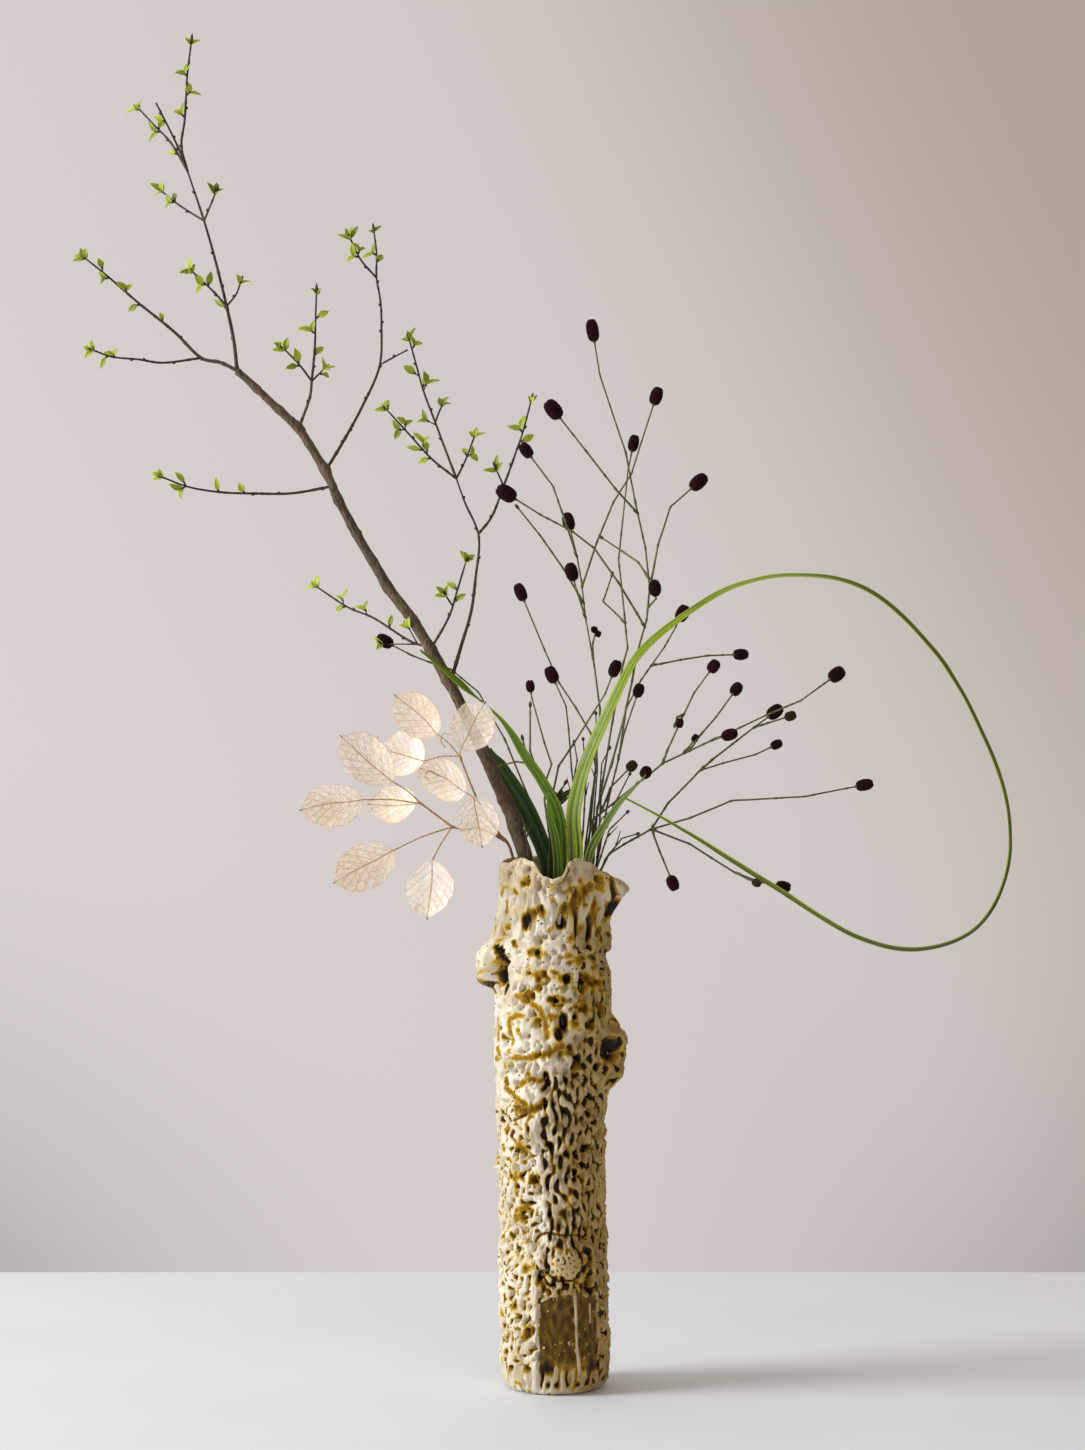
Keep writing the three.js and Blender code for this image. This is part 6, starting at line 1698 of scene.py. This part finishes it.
def wall_light():
    """A world that shows as the pale wall, with painted shade that makes it a little darker to the
    right and in its lower corners, and gives off a weaker even light."""
    world = bpy.data.worlds.new("wall")
    world.use_nodes = True
    nodes, links = world.node_tree.nodes, world.node_tree.links

    def result_of(operation, *values):
        node = nodes.new("ShaderNodeMath")
        node.operation = operation
        for socket, value in zip(node.inputs, values):
            if isinstance(value, (int, float)):
                socket.default_value = value
            else:
                links.new(value, socket)
        return node.outputs[0]

    direction = nodes.new("ShaderNodeTexCoord").outputs["Generated"]
    parts = nodes.new("ShaderNodeSeparateXYZ")
    links.new(direction, parts.inputs[0])
    x, z = parts.outputs["X"], parts.outputs["Z"]
    # Painted shade: the wall darkens towards the right and, less, upwards.
    spread = nodes.new("ShaderNodeMapRange")
    links.new(result_of("MULTIPLY_ADD", z, 0.5, x), spread.inputs["Value"])
    spread.inputs["From Min"].default_value = -0.2
    spread.inputs["From Max"].default_value = 0.25
    ramp = nodes.new("ShaderNodeValToRGB")
    links.new(spread.outputs["Result"], ramp.inputs["Fac"])
    ramp.color_ramp.interpolation = "EASE"
    ramp.color_ramp.elements.new(0.5)
    for element, (place, colour) in zip(ramp.color_ramp.elements, WALL_SHADED_COLOURS):
        element.position = place
        element.color = (*linear(colour), 1)

    low = result_of("MINIMUM", z, 0.0)
    shade = result_of("MULTIPLY_ADD", result_of("MULTIPLY", x, x), CORNER_SHADE, LOW_SHADE)
    shade = result_of("MULTIPLY", result_of("MULTIPLY", low, low), shade)
    shade = result_of("MINIMUM", shade, DEEPEST_SHADE)
    seen = nodes["Background"]
    links.new(ramp.outputs["Color"], seen.inputs["Color"])
    links.new(result_of("SUBTRACT", 1.0, shade), seen.inputs["Strength"])
    given = nodes.new("ShaderNodeBackground")
    given.inputs["Color"].default_value = (*AMBIENT, 1)
    chosen = nodes.new("ShaderNodeMixShader")
    links.new(nodes.new("ShaderNodeLightPath").outputs["Is Camera Ray"], chosen.inputs[0])
    links.new(given.outputs[0], chosen.inputs[1])
    links.new(seen.outputs[0], chosen.inputs[2])
    links.new(chosen.outputs[0], nodes["World Output"].inputs["Surface"])
    return world


def stage():
    """The camera, the soft lights, the plain wall colour all round and the pale table."""
    scene = bpy.context.scene
    scene.view_settings.view_transform = "Standard"
    camera = bpy.data.cameras.new("camera")
    camera.lens = LENS
    camera.sensor_width = SENSOR
    holder = bpy.data.objects.new("camera", camera)
    holder.location = [c * MM for c in CAMERA_PLACE]
    holder.rotation_euler = (math.pi / 2, 0, 0)
    scene.collection.objects.link(holder)
    scene.camera = holder
    for light in LIGHTS:
        area_light(*light)
    scene.world = wall_light()
    corners = [(-TABLE_SIDE, TABLE_FRONT, 0), (TABLE_SIDE, TABLE_FRONT, 0)]
    corners += [(TABLE_SIDE, TABLE_BACK, 0), (-TABLE_SIDE, TABLE_BACK, 0)]
    mesh = bpy.data.meshes.new("table")
    mesh.from_pydata([[c * MM for c in corner] for corner in corners], [], [[0, 1, 2, 3]])
    mesh.materials.append(plain_material("table", (231, 239, 250), 0.6))
    table = bpy.data.objects.new("table", mesh)
    scene.collection.objects.link(table)


stage()
vase()
branch()
skeleton_spray()
for strap in STRAPS:
    strap_leaf(strap)
stem_skin = wood_material("burnet_stem", (100, 102, 54), (36, 27, 14), (700, 700, 90), (0.5, 0.7), 0.12)
head_skin = floret_material()
next_head = 1
for plant in BURNETS:
    next_head = burnet(*plant, next_head, stem_skin, head_skin)
kubari()
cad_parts["water"].data.materials.clear()
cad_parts["water"].data.materials.append(water_material())
